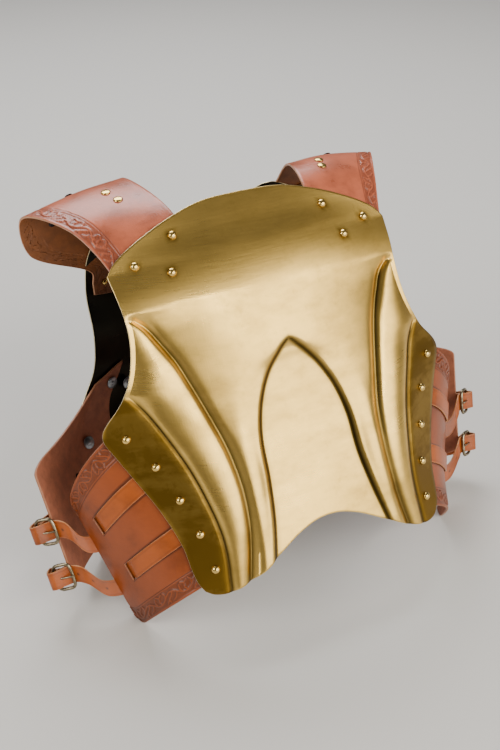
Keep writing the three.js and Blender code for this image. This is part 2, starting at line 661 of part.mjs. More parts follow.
// Places near a buckle: u runs back along the flap from its middle, and n stands off it. Where turned is 0
// they follow the flap and the rise of the chape, and from 0 to 1 they turn in round the rear bar.
function buckleFrame({ buckle, reach, stand }) {
  const onFlap = (along) => spot(flapPoint, along, buckle, -1);
  const end = onFlap(FLAP_END);
  const ahead = end.alongB.clone().cross(end.normal);
  const length = end.position.distanceTo(onFlap(FLAP_END - 0.2).position) / 0.2;
  return (u, n, turned = 0) => {
    const behindBar = u - BUCKLE.halfLength;
    if (turned > 0) {
      const angle = turned * BUCKLE_TURN * Math.PI / 180;
      const inward = (vector, on, out) => (
        vector.addScaledVector(ahead, on).addScaledVector(end.normal, out)
      );
      const normal = inward(new THREE.Vector3(), Math.sin(angle), Math.cos(angle));
      const back = inward(new THREE.Vector3(), -Math.cos(angle), Math.sin(angle));
      const at = inward(end.position.clone(), reach, stand)
        .addScaledVector(back, behindBar).addScaledVector(normal, n);
      return { at, turn: end.alongB.clone(), normal, back };
    }
    const beyond = reach - behindBar;
    const base = beyond > 0 ? end : onFlap(FLAP_END + beyond / length);
    const height = mix(CHAPE.stand, stand, smooth(1 - behindBar / CHAPE.rise)) + n;
    const at = base.position.clone().addScaledVector(ahead, Math.max(beyond, 0))
      .addScaledVector(base.normal, height);
    return { at, turn: base.alongB.clone(), normal: base.normal, back: base.alongA.clone().negate() };
  };
}

for (const [side, tag] of [[-1, 'l'], [1, 'r']]) {
  const place = (geometry) => (side < 0 ? mirrored(geometry) : geometry);
  const strapHoles = [];
  const panelHoles = [];
  const flapHoles = [];
  const beltHoles = [[], []];

  const pierce = (at, plate, list) => {
    plate.push(place(hole(HOLE, at)));
    list.push(hole(HOLE, at));
  };
  const fasten = (name, at, stack, head, foot, look) => {
    add(`${name}_${tag}`, place(rivet(stack, head, foot).applyMatrix4(at)), look);
  };
  const seated = ({ position, normal, alongA }) => framed(position, normal, alongA);

  const layered = PLATE + SEAT + LEATHER + 2 * GAP;
  SHOULDER_RIVETS.forEach(([x, z], i) => {
    const { matrix, spread } = seatOn(breastFacet, x, z, RIVET_HEAD);
    pierce(matrix, breastHoles, strapHoles);
    fasten(`shoulder_rivet_${i + 1}`, matrix, layered + spread, DOMED, PEENED, brass);
  });
  SIDE_RIVETS.forEach(([x, z], i) => {
    const { matrix, spread } = seatOn(breastFacet, x, z, RIVET_HEAD);
    pierce(matrix, breastHoles, panelHoles);
    beltHoles.forEach((list) => list.push(hole(HOLE, matrix)));
    fasten(`side_rivet_${i + 1}`, matrix, PANEL_SEAT + LEATHER + GAP + spread, DOMED, PEENED, brass);
  });
  BACK_RIVETS.forEach(([x, z], i) => {
    const { matrix, spread } = seatOn(backFacet, x, z, RIVET_HEAD);
    pierce(matrix, backHoles, strapHoles);
    fasten(`back_rivet_${i + 1}`, matrix, layered + spread, DOMED, PEENED, brass);
  });
  FLAP_RIVETS.forEach(([x, z], i) => {
    const { matrix, spread } = seatOn(backFacet, x, z, WASHER);
    pierce(matrix, backHoles, flapHoles);
    fasten(`flap_rivet_${i + 1}`, matrix, layered + spread + SEAT, DOMED, WASHERED, steel);
  });

  const strap = grid(evenly(STRAP_COLUMNS), STRAP_SHARES, (c, r) => strapPoint(tag, r, c));
  const onStrap = ([along, across]) => {
    const column = STRAP_SHARES.findIndex((share) => share > along) - 1;
    const row = Math.min(Math.floor(across * STRAP_COLUMNS), STRAP_COLUMNS - 1);
    const part = (along - STRAP_SHARES[column]) / (STRAP_SHARES[column + 1] - STRAP_SHARES[column]);
    const down = across * STRAP_COLUMNS - row;
    const [a, b, d] = [strap[row][column], strap[row + 1][column], strap[row][column + 1]];
    const e = strap[row + 1][column + 1];
    const [first, second, third, s, t] = down > part ? [a, b, e, down, part] : [a, e, d, down, part];
    const [low, high] = down > part ? [first, second] : [third, second];
    const [start, end] = down > part ? [second, third] : [first, third];
    const position = first.clone().addScaledVector(high.clone().sub(low), s)
      .addScaledVector(end.clone().sub(start), t);
    const normal = second.clone().sub(first).cross(third.clone().sub(first)).normalize();
    return { position, normal, alongA: d.clone().sub(a).normalize() };
  };
  const stud = (name, shares, look) => {
    const at = seated(onStrap(shares));
    strapHoles.push(hole(HOLE, at));
    fasten(name, at, LEATHER + 3 * GAP, FLAT_HEAD, PEENED, look);
  };
  CREST_RIVETS.forEach((shares, i) => stud(`crest_rivet_${i + 1}`, shares, brass));
  STRAP_STUDS.forEach((shares, i) => stud(`strap_stud_${i + 1}`, shares, blackened));

  const flap = grid(evenly(FLAP_ROWS), FLAP_COLUMNS.slice().reverse(), (c, r) => flapPoint(r, c));
  const flapRoom = sheet(flap, LEATHER, GAP);
  BELTS.forEach((belt, i) => {
    const onPanel = (along, out, thick = BELT, across = belt.across) => {
      const { position, normal, alongB } = spot(panelPoint, along, across);
      return { at: position.addScaledVector(normal, out), turn: alongB, thick };
    };
    const top = 1.6 * GAP + BELT / 2;
    const under = -(LEATHER + 1.6 * GAP + BELT / 2);
    const skived = 1.5 * GAP + BELT_SKIVED / 2;
    const frame = buckleFrame(belt);
    const near = (u, n, turned) => ({ ...frame(u, n, turned), thick: BELT });
    const exit = onPanel(0.99, under, BELT, belt.exit);
    const arrive = near(-24, -3, 1);
    arrive.at.z -= belt.sag / 2;
    const hang = {
      at: exit.at.clone().lerp(arrive.at, 0.5).add(new THREE.Vector3(0, 0, -belt.sag)),
      turn: exit.turn.clone().lerp(arrive.turn, 0.5),
      thick: BELT,
    };
    const stations = [
      onPanel(-0.9, skived, BELT_SKIVED), onPanel(-0.45, skived, BELT_SKIVED),
      onPanel(-0.04, skived, BELT_SKIVED),
      onPanel(0.12, top), onPanel(0.3, top), onPanel(belt.slot - 0.16, top), onPanel(belt.slot - 0.06, top),
      onPanel(belt.slot + 0.06, under),
      onPanel(belt.slot + 0.14, under, BELT, mix(belt.across, belt.exit, 0.3)),
      exit, hang, arrive,
      near(-12, -3.5, 1), near(0, 0.6, 1), near(11, 7.8, 1), near(11, 7.8, 0.5),
      near(20, 5.8), near(30, 3.4), near(50, 2.2),
    ];
    const heel = frame(BUCKLE.halfLength, 0);
    const middle = frame(0, 0, 1);
    const inFrame = framed(middle.at, middle.normal, middle.back);
    const point = (u, n) => new THREE.Vector3(u, n, 0).applyMatrix4(inFrame);
    const tip = point(PRONG.tip, 3.8);
    const root = point(BUCKLE.halfLength - 2.4, 3);
    const eyeOf = (wire) => ring(PRONG.eye, PRONG.eye, wire, EYE_SEGMENTS, EYE_SIDES).rotateX(Math.PI / 2)
      .translate(BUCKLE.halfLength, 0, 0).applyMatrix4(inFrame);
    const pin = rod(root, tip, PRONG.wire, PIN_SIDES);
    add(`prong_${belt.name}_${tag}`, place(joined([eyeOf(PRONG.wire), pin])), darkBrass);
    const oval = (wire) => ring(BUCKLE.halfLength, BUCKLE.halfWidth, wire, BUCKLE_SEGMENTS, BUCKLE_SIDES)
      .applyMatrix4(inFrame);
    const buckleRoom = oval(BUCKLE.wire + GAP);
    add(`buckle_${belt.name}_${tag}`, place(oval(BUCKLE.wire)), darkBrass);
    const turn = heel.turn;
    const loop = CHAPE_LOOP.map(([u, n]) => ({ ...frame(u, n), turn, thick: CHAPE.thick }));
    const notch = new THREE.BoxGeometry(...CHAPE_NOTCH).translate(BUCKLE.halfLength, 0, 0)
      .applyMatrix4(inFrame);
    const chape = cut(strip(loop, CHAPE.width, CHAPE_SAMPLES), [notch, buckleRoom, flapRoom]);
    add(`chape_${belt.name}_${tag}`, place(chape), paleLeather);
    const channel = [-0.2, 1.15].map((share) => tip.clone().lerp(root, share));
    beltHoles[i].push(rod(...channel, PRONG.wire + 0.5, PIN_SIDES + 1));
    beltHoles[i].push(eyeOf(PRONG.wire + GAP), buckleRoom, breastRoom, flapRoom);
    const strap = strip(stations, BELT_WIDTH, BELT_SAMPLES);
    add(`belt_${belt.name}_${tag}`, place(cut(strap, beltHoles[i])), paleLeather);

    const wider = stations.map((station) => ({ ...station, thick: station.thick + 1.6 * GAP }));
    panelHoles.push(strip(wider, BELT_WIDTH + 2 * GAP, BELT_SAMPLES, 1, ON_PANEL_SAMPLES));
    const mouth = spot(panelPoint, belt.slot, belt.across);
    const slot = new THREE.BoxGeometry(SLOT.length, SLOT.deep, BELT_WIDTH + SLOT.play)
      .applyMatrix4(framed(mouth.position, mouth.normal, mouth.alongA));
    panelHoles.push(slot);
  });

  strapHoles.push(breastRoom, backRoom);
  panelHoles.push(breastRoom, floorCutter);
  flapHoles.push(backRoom);
  add(`shoulder_strap_${tag}`, place(cut(sheet(strap, LEATHER), strapHoles)), leather);
  const panel = grid(evenly(PANEL_ROWS), PANEL_COLUMNS, (c, r) => panelPoint(r, c));
  add(`side_panel_${tag}`, place(cut(sheet(panel, LEATHER), panelHoles)), leather);
  add(`back_flap_${tag}`, place(cut(sheet(flap, LEATHER), flapHoles)), leather);
}

add('breastplate', cut(sheet(BREAST_GRID, PLATE, 0, true), breastHoles), brass);
add('backplate', cut(sheet(BACK_GRID, PLATE, 0, true), [...backHoles, floorCutter]), brass);

// The group's origin goes to the middle of the underside of its bounding box
group.updateMatrixWorld(true);
const bounds = new THREE.Box3().setFromObject(group, true);
const centre = bounds.getCenter(new THREE.Vector3());
torso.position.sub(new THREE.Vector3(centre.x, centre.y, bounds.min.z));

export default group;
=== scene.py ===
import math

import bpy
import numpy as np
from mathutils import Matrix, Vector


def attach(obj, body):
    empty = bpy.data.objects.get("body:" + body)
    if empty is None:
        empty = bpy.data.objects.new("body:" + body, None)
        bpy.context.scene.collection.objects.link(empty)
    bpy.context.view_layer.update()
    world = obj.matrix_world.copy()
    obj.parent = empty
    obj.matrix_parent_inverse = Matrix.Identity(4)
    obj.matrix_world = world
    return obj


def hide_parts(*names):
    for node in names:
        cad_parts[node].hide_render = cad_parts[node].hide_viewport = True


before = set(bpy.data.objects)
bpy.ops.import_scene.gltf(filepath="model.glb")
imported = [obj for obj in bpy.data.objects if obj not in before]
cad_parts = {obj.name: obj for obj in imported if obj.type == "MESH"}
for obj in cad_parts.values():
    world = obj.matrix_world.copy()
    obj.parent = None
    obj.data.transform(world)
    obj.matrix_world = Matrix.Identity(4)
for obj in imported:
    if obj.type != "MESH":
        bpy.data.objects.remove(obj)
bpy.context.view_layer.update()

MM = 0.001
LEAN = math.radians(34.6)
FLOOR_DROP = 385.2
CENTRING = 8.4
PLATE = 1.6
LEATHER = 3.0
BELT = 2.2
BELT_SKIVED = 1.0
BELT_WIDTH = 21
GAP = 0.35
SEAT = 1.0
STEP_HEIGHT = 6
STEP_HALF_WIDTH = 5
SHOULDER_FLAT_TOP = 12
HEM = -355
FLUTE_TOP = -34
FLANGE_TOP = -116
ARCH_TIP = -100
FAR = 1e3
RIDGE_FADE = 8
RIB_HOLLOW = 2.5
RIB_HOLLOW_TOP = -150
RIB_HOLLOW_FADE = 60
FLANK_HOLLOW = 5
FLANK_WIDTH = 50
INNER_RIDGE = 3.2
INNER_RIDGE_WIDTH = 6
OUTER_RIDGE = 2.4
OUTER_RIDGE_WIDTH = 4
ARCH_DIP_WIDTH = 16
ARCH_DIP_TOP = -90
ARCH_DIP_FADE = 40
BELLY_BOW = 0.0005
BELLY_TOP = -96
BELLY_FADE = 16
RIVET_HEAD = 5.2
RIVET_RISE = 4.4
RIVET_SHANK = 2.0
STUD_HEAD = 5.6
WASHER = 8

# Breastplate, half outline and flutes: height, reach from the midline, depth
SIDE_EDGE = [
    (12, 178, 14), (-20, 175, 7), (-50, 173, 6), (-77, 176, 9.5), (-100, 182.5, 14), (-116, 190, 19),
    (-130, 200, 27), (-145, 215.5, 36), (-152, 221, 39.5), (-161, 223, 41), (-181, 215, 40.5),
    (-209, 202, 39), (-254, 182.5, 34), (-300, 168.5, 32), (-330, 165, 32), (-345, 162, 31), (-355, 157, 30),
]
INNER_FLUTE = [
    (-34, 172, 6), (-51, 153, 7.5), (-72, 141, 6.5), (-97, 129, 4), (-121, 121, 3), (-163, 109, 0.5),
    (-209, 98, -1.5), (-254, 94, -3), (-298, 96, 0.5), (-320, 99, 5), (-350, 105, 11),
]
OUTER_FLUTE = [
    (-116, 190, 19), (-141, 174, 18), (-170, 161, 14), (-215, 144, 10.5), (-254, 134, 8.8),
    (-294, 127, 9), (-321, 126, 11.3), (-350, 128, 16),
]
ARCH = [
    (-100, 0, -19), (-107, 8, -18), (-116, 17, -16), (-127, 27, -13), (-140, 36, -11), (-162, 47, -9),
    (-184, 54, -7), (-206, 58, -5.5), (-252, 60.5, -3), (-297, 67, -3.5), (-333, 75, -2.5), (-350, 79, -1),
]
CHEST_MIDLINE = [
    (80, 12), (58, 6), (40, 1), (15, -8), (-20, -15), (-60, -18.5), (-100, -19), (-150, -17),
    (-200, -15), (-350, -15),
]
TOP_EDGE = [(0, 76), (50, 73.5), (90, 62.5), (130, 46), (158, 31), (170, 22), (178, 12)]
BOTTOM_EDGE = [
    (0, -311), (15, -312.5), (30, -317), (45, -323.5), (60, -332), (75, -340.5), (90, -349), (105, -356),
    (120, -361), (137, -363), (150, -360), (157, -355),
]
# Backplate: height, depth on the midline, reach of its side edge, depth of that edge
BACK = [
    (96, 112, 122, 96), (60, 162, 156, 138), (22, 204, 165, 166), (-44, 238, 168, 181), (-80, 250, 176, 191),
    (-108, 256, 192, 203), (-140, 259, 212, 209), (-180, 262, 216, 214), (-230, 270, 208, 226),
    (-286, 288, 202, 246),
]
BACK_TOP_EDGE = [(0, 56), (36, 66), (62, 90), (84, 95), (122, 84)]
BACK_BOTTOM = -273.5
# Straps from inner to outer edge: front reach, crest reach, depth and height, rear reach
STRAPS = {
    "l": [(0, 84, 108, 95, 131, 84), (0.5, 128, 166, 98, 124, 122), (1, 173, 234, 104, 109, 156)],
    "r": [(0, 84, 96, 68, 106, 84), (0.5, 128, 152, 74, 109, 122), (1, 176, 224, 84, 103, 156)],
}
STRAP_FOOT_FRONT = -18
STRAP_FOOT_REAR = 12
STRAP_TOP_INSET = 4
STRAP_REAR_TOP = (76, 38)
# How far a strap swells from the straight way between plate and crest, at its inner and its outer edge
RISE_SWELL = np.array([(0, -3, 9), (-6, -17, 12)])
FALL_SWELL = np.array([(6, 6, 5), (33, 6, -3)])
PANEL_TOP = {"flange": -163, "reach": 264, "depth": 106, "height": -219}
PANEL_BOTTOM = {"flange": -350, "reach": 216, "depth": 132, "height": -390}
PANEL_LAP = 36
PANEL_SEAT = PLATE + SEAT + BELT_SKIVED + GAP
PANEL_CORNERS = [(0.9, 0.03), (0.86, 0.08)]
PANEL_KNEE_REACH = 0.45
PANEL_KNEE_DROP = 0.42
SHEET_STEPS = 111
LAP_STEPS = 41

SHOULDER_RIVETS = [(110, 0), (147, 16), (96, 41)]
SIDE_RIVETS = [(200, -166), (177, -204), (161, -247), (149, -290), (142, -333)]
BACK_RIVETS = [(98, 34), (140, 26), (112, 62)]
FLAP_RIVETS = [(155, -97), (131, -103), (204, -166)]
CREST_RIVETS = [(0.42, 0.38), (0.38, 0.38)]
STRAP_STUDS = [(0.51, 0.55), (0.57, 0.72)]
BELTS = [
    {
        "name": "upper", "across": 0.3, "slot": 0.72, "exit": 0.36,
        "buckle": 0.52, "sag": 9, "reach": 9, "stand": 16,
    },
    {
        "name": "lower", "across": 0.66, "slot": 0.68, "exit": 0.73,
        "buckle": 0.97, "sag": 9, "reach": 9, "stand": 16,
    },
]
FLAP_TOP = {"plate": -96, "reach": 295, "depth": 113, "height": -171}
FLAP_BOTTOM = {"plate": -285, "reach": 277, "depth": 142, "height": -324}
FLAP_END = 0.99
FLAP_CORNERS = [(0.76, 0.08), (0.66, 0.14)]
FLAP_LAP_INSET = 6
FLAP_LAP = 130
FLAP_LAP_DROP = 60
# The flap's bend, at its top and its bottom: reach, depth and share of the way down
FLAP_KNEE = {"reach": (240, 250), "depth": (190, 205), "drop": (0.8, 0.5)}
BUCKLE_TURN = math.radians(82)
EYELETS = [(0.3, 0.45), (0.07, 0.5)]
BUCKLE_HALF_LENGTH = 11
BUCKLE_HALF_WIDTH = 15.5
BUCKLE_WIRE = 2
PRONG_WIRE = 1.15
PRONG_EYE = 3.55
PRONG_TIP = -14
CHAPE_WIDTH = 17
CHAPE_THICK = 2
CHAPE_STAND = 5
CHAPE_RISE = 45


def mix(a, b, share):
    return a + (b - a) * share


def smooth(share):
    t = np.clip(share, 0, 1)
    return t * t * (3 - 2 * t)


def line_mark(away, width):
    """1 on a line, falling to 0 within about two widths of it."""
    return np.exp(-((away / width) ** 2))


def follow(rows, along, column):
    """Reads one column of a table along its first one, with a smooth curve through the rows."""
    table = np.array(sorted(rows), float)
    keys, values = table[:, 0], table[:, column]
    spans = np.diff(keys)
    slopes = np.diff(values) / spans
    tangents = np.concatenate([slopes[:1], (slopes[:-1] + slopes[1:]) / 2, slopes[-1:]])
    i = np.clip(np.searchsorted(keys, along, side="right") - 1, 0, len(keys) - 2)
    t = (along - keys[i]) / spans[i]
    s = np.clip(t, 0, 1)
    curve = values[i] * (2 * s**3 - 3 * s**2 + 1) + tangents[i] * spans[i] * (s**3 - 2 * s**2 + s)
    curve = curve + values[i + 1] * (3 * s**2 - 2 * s**3) + tangents[i + 1] * spans[i] * (s**3 - s**2)
    curve = curve + tangents[i] * spans[i] * np.minimum(t, 0)
    return curve + tangents[i + 1] * spans[i] * np.maximum(t - 1, 0)


def unit(vectors):
    return vectors / np.maximum(np.linalg.norm(vectors, axis=-1, keepdims=True), 1e-9)


def edge_reach(z):
    return follow(SIDE_EDGE, np.clip(z, HEM, SHOULDER_FLAT_TOP), 1)


def inner_reach(z):
    return np.minimum(np.where(z > FLUTE_TOP, FAR, follow(INNER_FLUTE, z, 1)), edge_reach(z) - 10)


def outer_reach(z):
    return np.minimum(np.where(z > FLANGE_TOP, FAR, follow(OUTER_FLUTE, z, 1)), edge_reach(z) - 5)


def arch_reach(z):
    return np.where(z > ARCH_TIP, ARCH_TIP - z, follow(ARCH, z, 1))


def arch_distance(x, z):
    """Distance from the arch's line, above zero outside it."""
    lean = 1 / np.hypot(1, (arch_reach(z - 1) - arch_reach(z + 1)) / 2)
    return (np.abs(x) - arch_reach(z)) * lean


def breast_depth(x, z):
    """Depth of the breastplate's face at a reach and a height."""
    x, z = np.asarray(x, float), np.asarray(z, float)
    reach = np.abs(x)
    edge = edge_reach(z)
    edge_depth = follow(SIDE_EDGE, np.clip(z, HEM, SHOULDER_FLAT_TOP), 2)
    middle = follow(CHEST_MIDLINE, z, 1)
    inner, outer = inner_reach(z), outer_reach(z)
    low = smooth((FLUTE_TOP - z) / RIDGE_FADE)
    bowl = middle + (edge_depth - middle) * (inner / edge) ** 2
    inner_depth = mix(bowl, follow(INNER_FLUTE, z, 2), low)
    lower = smooth((FLANGE_TOP - z) / RIDGE_FADE)
    straight = mix(inner_depth, edge_depth, (outer - inner) / (edge - inner))
    outer_depth = mix(straight, follow(OUTER_FLUTE, z, 2), lower)

    across = np.clip((reach - arch_reach(z)) / (inner - arch_reach(z)), 0, 1)
    ribs = middle + (inner_depth - middle) * (reach / inner) ** 2
    hollow = RIB_HOLLOW * smooth((RIB_HOLLOW_TOP - z) / RIB_HOLLOW_FADE)
    ribs = ribs - hollow * np.sin(math.pi * across) ** 2
    share = (reach - inner) / (outer - inner)
    hollow = FLANK_HOLLOW * low * 4 * share * (1 - share) * (outer - inner) / FLANK_WIDTH
    flank = mix(inner_depth, outer_depth, share) - hollow
    flange = mix(outer_depth, edge_depth, (reach - outer) / (edge - outer))
    depth = np.where(reach < inner, ribs, np.where(reach < outer, flank, flange))

    depth = depth + INNER_RIDGE * low * line_mark(reach - inner, INNER_RIDGE_WIDTH)
    depth = depth + OUTER_RIDGE * lower * line_mark(reach - outer, OUTER_RIDGE_WIDTH)

    arch = arch_reach(z)
    beyond = arch_distance(x, z)
    lip = follow(ARCH, np.minimum(z, ARCH_TIP), 2)
    at_arch = middle + (inner_depth - middle) * (np.maximum(arch, 0) / inner) ** 2
    dip = (lip - at_arch) * line_mark(np.maximum(beyond, 0), ARCH_DIP_WIDTH)
    dip = dip * smooth((ARCH_DIP_TOP - z) / ARCH_DIP_FADE)
    belly = lip + STEP_HEIGHT - BELLY_BOW * (arch * arch - reach * reach)
    inside = smooth((STEP_HALF_WIDTH - beyond) / (2 * STEP_HALF_WIDTH)) * smooth((BELLY_TOP - z) / BELLY_FADE)
    return np.where(z < -70, mix(depth + dip, belly, inside), depth)


def breast_columns(z):
    """Reaches of the lines that the breastplate's columns follow, from the midline to the side edge."""
    inner, outer, edge = inner_reach(z), outer_reach(z), edge_reach(z)
    arch = np.maximum(arch_reach(z), 14)

    def near(start, end, distance):
        return start + np.sign(end - start) * np.minimum(distance, np.abs(end - start) * 0.3)

    zero = np.zeros_like(z)
    return np.stack([
        zero, near(arch, zero, STEP_HALF_WIDTH), near(arch, inner, STEP_HALF_WIDTH), mix(arch, inner, 0.38),
        mix(arch, inner, 0.7), near(inner, arch, 8), inner, near(inner, outer, 8), mix(inner, outer, 0.55),
        near(outer, inner, 5), outer, near(outer, edge, 6), edge,
    ])


SETTLING_ROUNDS = 24
BREAST_SETTLING = 0.7
BACK_SETTLING = 0.6
BREAST_COLUMN_STEPS = [14, 12, 7, 7, 6, 6, 6, 6, 5, 6, 6, 8]
BACK_ROW_CROWDING = 1.35


def breast_grid(rows):
    """Points of the breastplate's face, from its top edge to its bottom edge and from side to side."""
    steps = BREAST_COLUMN_STEPS
    lines = np.concatenate([np.arange(n) / n + i for i, n in enumerate(steps)] + [[len(steps)]])
    first = np.minimum(lines.astype(int), len(steps) - 1)
    part = lines - first
    share = np.linspace(0, 1, rows + 1)[:, None] * np.ones(len(lines))
    z = mix(60.0, -340.0, share)
    for _ in range(SETTLING_ROUNDS):
        columns = breast_columns(z)
        low = np.take_along_axis(columns, np.broadcast_to(first, z.shape)[None], 0)[0]
        high = np.take_along_axis(columns, np.broadcast_to(first + 1, z.shape)[None], 0)[0]
        x = mix(low, high, part)
        z = mix(z, mix(follow(TOP_EDGE, x, 1), follow(BOTTOM_EDGE, x, 1), share), BREAST_SETTLING)
    half = np.stack([x, breast_depth(x, z), z], -1)
    return np.concatenate([(half * (-1, 1, 1))[:, ::-1], half[:, 1:]], 1)


def back_depth(x, z):
    middle = follow(BACK, z, 1)
    return middle + (follow(BACK, z, 3) - middle) * (np.abs(x) / follow(BACK, z, 2)) ** 2


def back_grid(rows, columns):
    across = np.linspace(-1, 1, 2 * columns + 1) * np.ones((rows + 1, 1))
    share = np.linspace(0, 1, rows + 1)[:, None] ** BACK_ROW_CROWDING * np.ones(2 * columns + 1)
    z = mix(60.0, BACK_BOTTOM, share)
    for _ in range(SETTLING_ROUNDS):
        x = follow(BACK, z, 2) * across
        top = follow(BACK_TOP_EDGE, np.minimum(np.abs(x), BACK_TOP_EDGE[-1][0]), 1)
        z = mix(z, mix(top, BACK_BOTTOM, share), BACK_SETTLING)
    return np.stack([x, back_depth(x, z), z], -1)[:, ::-1]


def plate_spot(depth_at, x, z, outward):
    """Place, outward normal and sideways direction on a plate."""
    d = 0.4
    point = np.array([x, depth_at(x, z), z], float)
    sideways = unit(np.array([2 * d, depth_at(x + d, z) - depth_at(x - d, z), 0]))
    upward = unit(np.array([0, depth_at(x, z + d) - depth_at(x, z - d), 2 * d]))
    return point, unit(np.cross(upward, sideways)) * outward, sideways


def on_breast(x, z):
    return plate_spot(breast_depth, x, z, -1)


def on_back(x, z):
    return plate_spot(back_depth, x, z, 1)


def behind(spot, distance):
    return spot[0] - spot[1] * distance


def catmull(points, shares, power=0.25):
    """A curve through points; power 0.25 is the centripetal one, and 0 the uniform one."""
    p = np.asarray(points, float)
    p = np.vstack([2 * p[0] - p[1], p, 2 * p[-1] - p[-2]])
    at = np.asarray(shares, float) * (len(points) - 1)
    i = np.clip(at.astype(int), 0, len(points) - 2)
    t = (at - i)[:, None]
    a, b, c, d = p[i], p[i + 1], p[i + 2], p[i + 3]

    def knot(u, v):
        return np.maximum(((v - u) ** 2).sum(-1, keepdims=True), 1e-12) ** power

    before, here, after = knot(a, b), knot(b, c), knot(c, d)
    start = ((b - a) / before - (c - a) / (before + here) + (c - b) / here) * here
    end = ((c - b) / here - (d - b) / (here + after) + (d - c) / after) * here
    return b + start * t + (-3 * b + 3 * c - 2 * start - end) * t**2 + (2 * b - 2 * c + start + end) * t**3


def strap_line(tag, across, shares):
    front, reach, depth, height, rear = [float(follow(STRAPS[tag], across, k)) for k in range(1, 6)]
    front_top = float(follow(TOP_EDGE, front, 1)) - STRAP_TOP_INSET
    rear_top = mix(*STRAP_REAR_TOP, across)

    def breast(z):
        return behind(on_breast(front, z), PLATE + SEAT)

    def back(z):
        return behind(on_back(rear, z), PLATE + SEAT)

    crest = np.array([reach, depth, height])
    rise = mix(breast(front_top), crest, 0.5) + mix(*RISE_SWELL, across)
    fall = mix(back(rear_top), crest, 0.5) + mix(*FALL_SWELL, across)
    return catmull([
        breast(STRAP_FOOT_FRONT), breast(mix(STRAP_FOOT_FRONT, front_top, 0.5)), breast(front_top),
        rise, crest, fall,
        back(rear_top), back(mix(rear_top, STRAP_FOOT_REAR, 0.5)), back(STRAP_FOOT_REAR),
    ], shares)


def corner_pull(along, start, size):
    return size * (1 - np.sqrt(1 - np.clip((along - start) / (1 - start), 0, 1) ** 2))


def folded_sheet(lap_at, ends_at, knee_at):
    """A surface in shares along and across: a lap that lies on a plate, then a bend out to a free edge."""
    levels = np.linspace(-0.05, 1.05, SHEET_STEPS)
    laps = np.linspace(-1, 0, LAP_STEPS)
    lap_rows = np.array([[lap_at(along, across) for along in laps] for across in levels])
    ends = np.array([ends_at(across) for across in levels])
    knees = np.array([knee_at(across, *pair) for across, pair in zip(levels, ends)])

    def at(along, across):
        along, across = np.broadcast_arrays(np.asarray(along, float), np.asarray(across, float))
        place = np.clip((across - levels[0]) / (levels[1] - levels[0]), 0, SHEET_STEPS - 1.001)
        row = place.astype(int)
        part = (place - row)[..., None]

        def read(table):
            return mix(table[row], table[row + 1], part)

        t = np.maximum(along, 0)[..., None]
        start, far = read(ends[:, 0]), read(ends[:, 1])
        bend = start * (1 - t) ** 2 + read(knees) * 2 * t * (1 - t) + far * t**2
        step = np.clip((along + 1) * (LAP_STEPS - 1), 0, LAP_STEPS - 1.001)
        column = step.astype(int)
        lap_part = (step - column)[..., None]
        first = mix(lap_rows[row, column], lap_rows[row + 1, column], part)
        second = mix(lap_rows[row, column + 1], lap_rows[row + 1, column + 1], part)
        return np.where((along <= 0)[..., None], mix(first, second, lap_part), bend)

    return at


def panel_lap(along, across):
    flange = mix(PANEL_TOP["flange"], PANEL_BOTTOM["flange"], across)
    return behind(on_breast(float(edge_reach(flange)) + along * PANEL_LAP, flange), PANEL_SEAT)


def free_edge(top, bottom, across):
    return np.array([mix(top[key], bottom[key], across) for key in ("reach", "depth", "height")])


def panel_ends(across):
    return panel_lap(0, across), free_edge(PANEL_TOP, PANEL_BOTTOM, across)


def panel_knee(across, start, far):
    out = unit(start - panel_lap(-0.5, across))
    knee = start + out * np.linalg.norm(far - start) * PANEL_KNEE_REACH
    knee[2] = mix(start[2], far[2], PANEL_KNEE_DROP)
    return knee


PANEL_SHEET = folded_sheet(panel_lap, panel_ends, panel_knee)


def panel_point(along, level):
    along = np.asarray(along, float)
    top, bottom = [corner_pull(along, *corner) for corner in PANEL_CORNERS]
    return PANEL_SHEET(along, mix(top, 1 - bottom, level))


def flap_lap(along, across):
    height = mix(FLAP_TOP["plate"], FLAP_BOTTOM["plate"], across)
    edge = float(follow(BACK, height, 2)) - FLAP_LAP_INSET
    return behind(on_back(edge + along * FLAP_LAP, height - along * FLAP_LAP_DROP), PLATE + SEAT)


def flap_ends(across):
    return flap_lap(0, across), free_edge(FLAP_TOP, FLAP_BOTTOM, across)


def flap_knee(across, start, far):
    reach, depth, drop = [mix(*FLAP_KNEE[key], across) for key in ("reach", "depth", "drop")]
    return np.array([reach, depth, mix(start[2], far[2], drop)])


FLAP_SHEET = folded_sheet(flap_lap, flap_ends, flap_knee)


def flap_point(along, level):
    along = np.asarray(along, float)
    top, bottom = [corner_pull(along, *corner) for corner in FLAP_CORNERS]
    return FLAP_SHEET(along, mix(top, 1 - bottom, level))


def surface_spot(surface, a, b, outward=1):
    """Place, outward normal and two directions on a surface given by two shares."""
    d = 0.004
    along = unit(surface(a + d, b) - surface(a - d, b))
    across = unit(surface(a, b + d) - surface(a, b - d))
    return surface(a, b), unit(np.cross(across, along)) * outward, along, across


def to_row(points):
    """From the torso's millimetres to the row's metres."""
    p = np.asarray(points, float)
    y = p[..., 1] * math.cos(LEAN) + p[..., 2] * math.sin(LEAN) + CENTRING
    z = p[..., 2] * math.cos(LEAN) - p[..., 1] * math.sin(LEAN) + FLOOR_DROP
    z = np.maximum(z, 0)
    return np.stack([p[..., 0], y, z], -1) * MM


def grid_normals(points):
    down = np.gradient(points, axis=0)
    across = np.gradient(points, axis=1)
    return unit(np.cross(down, across))


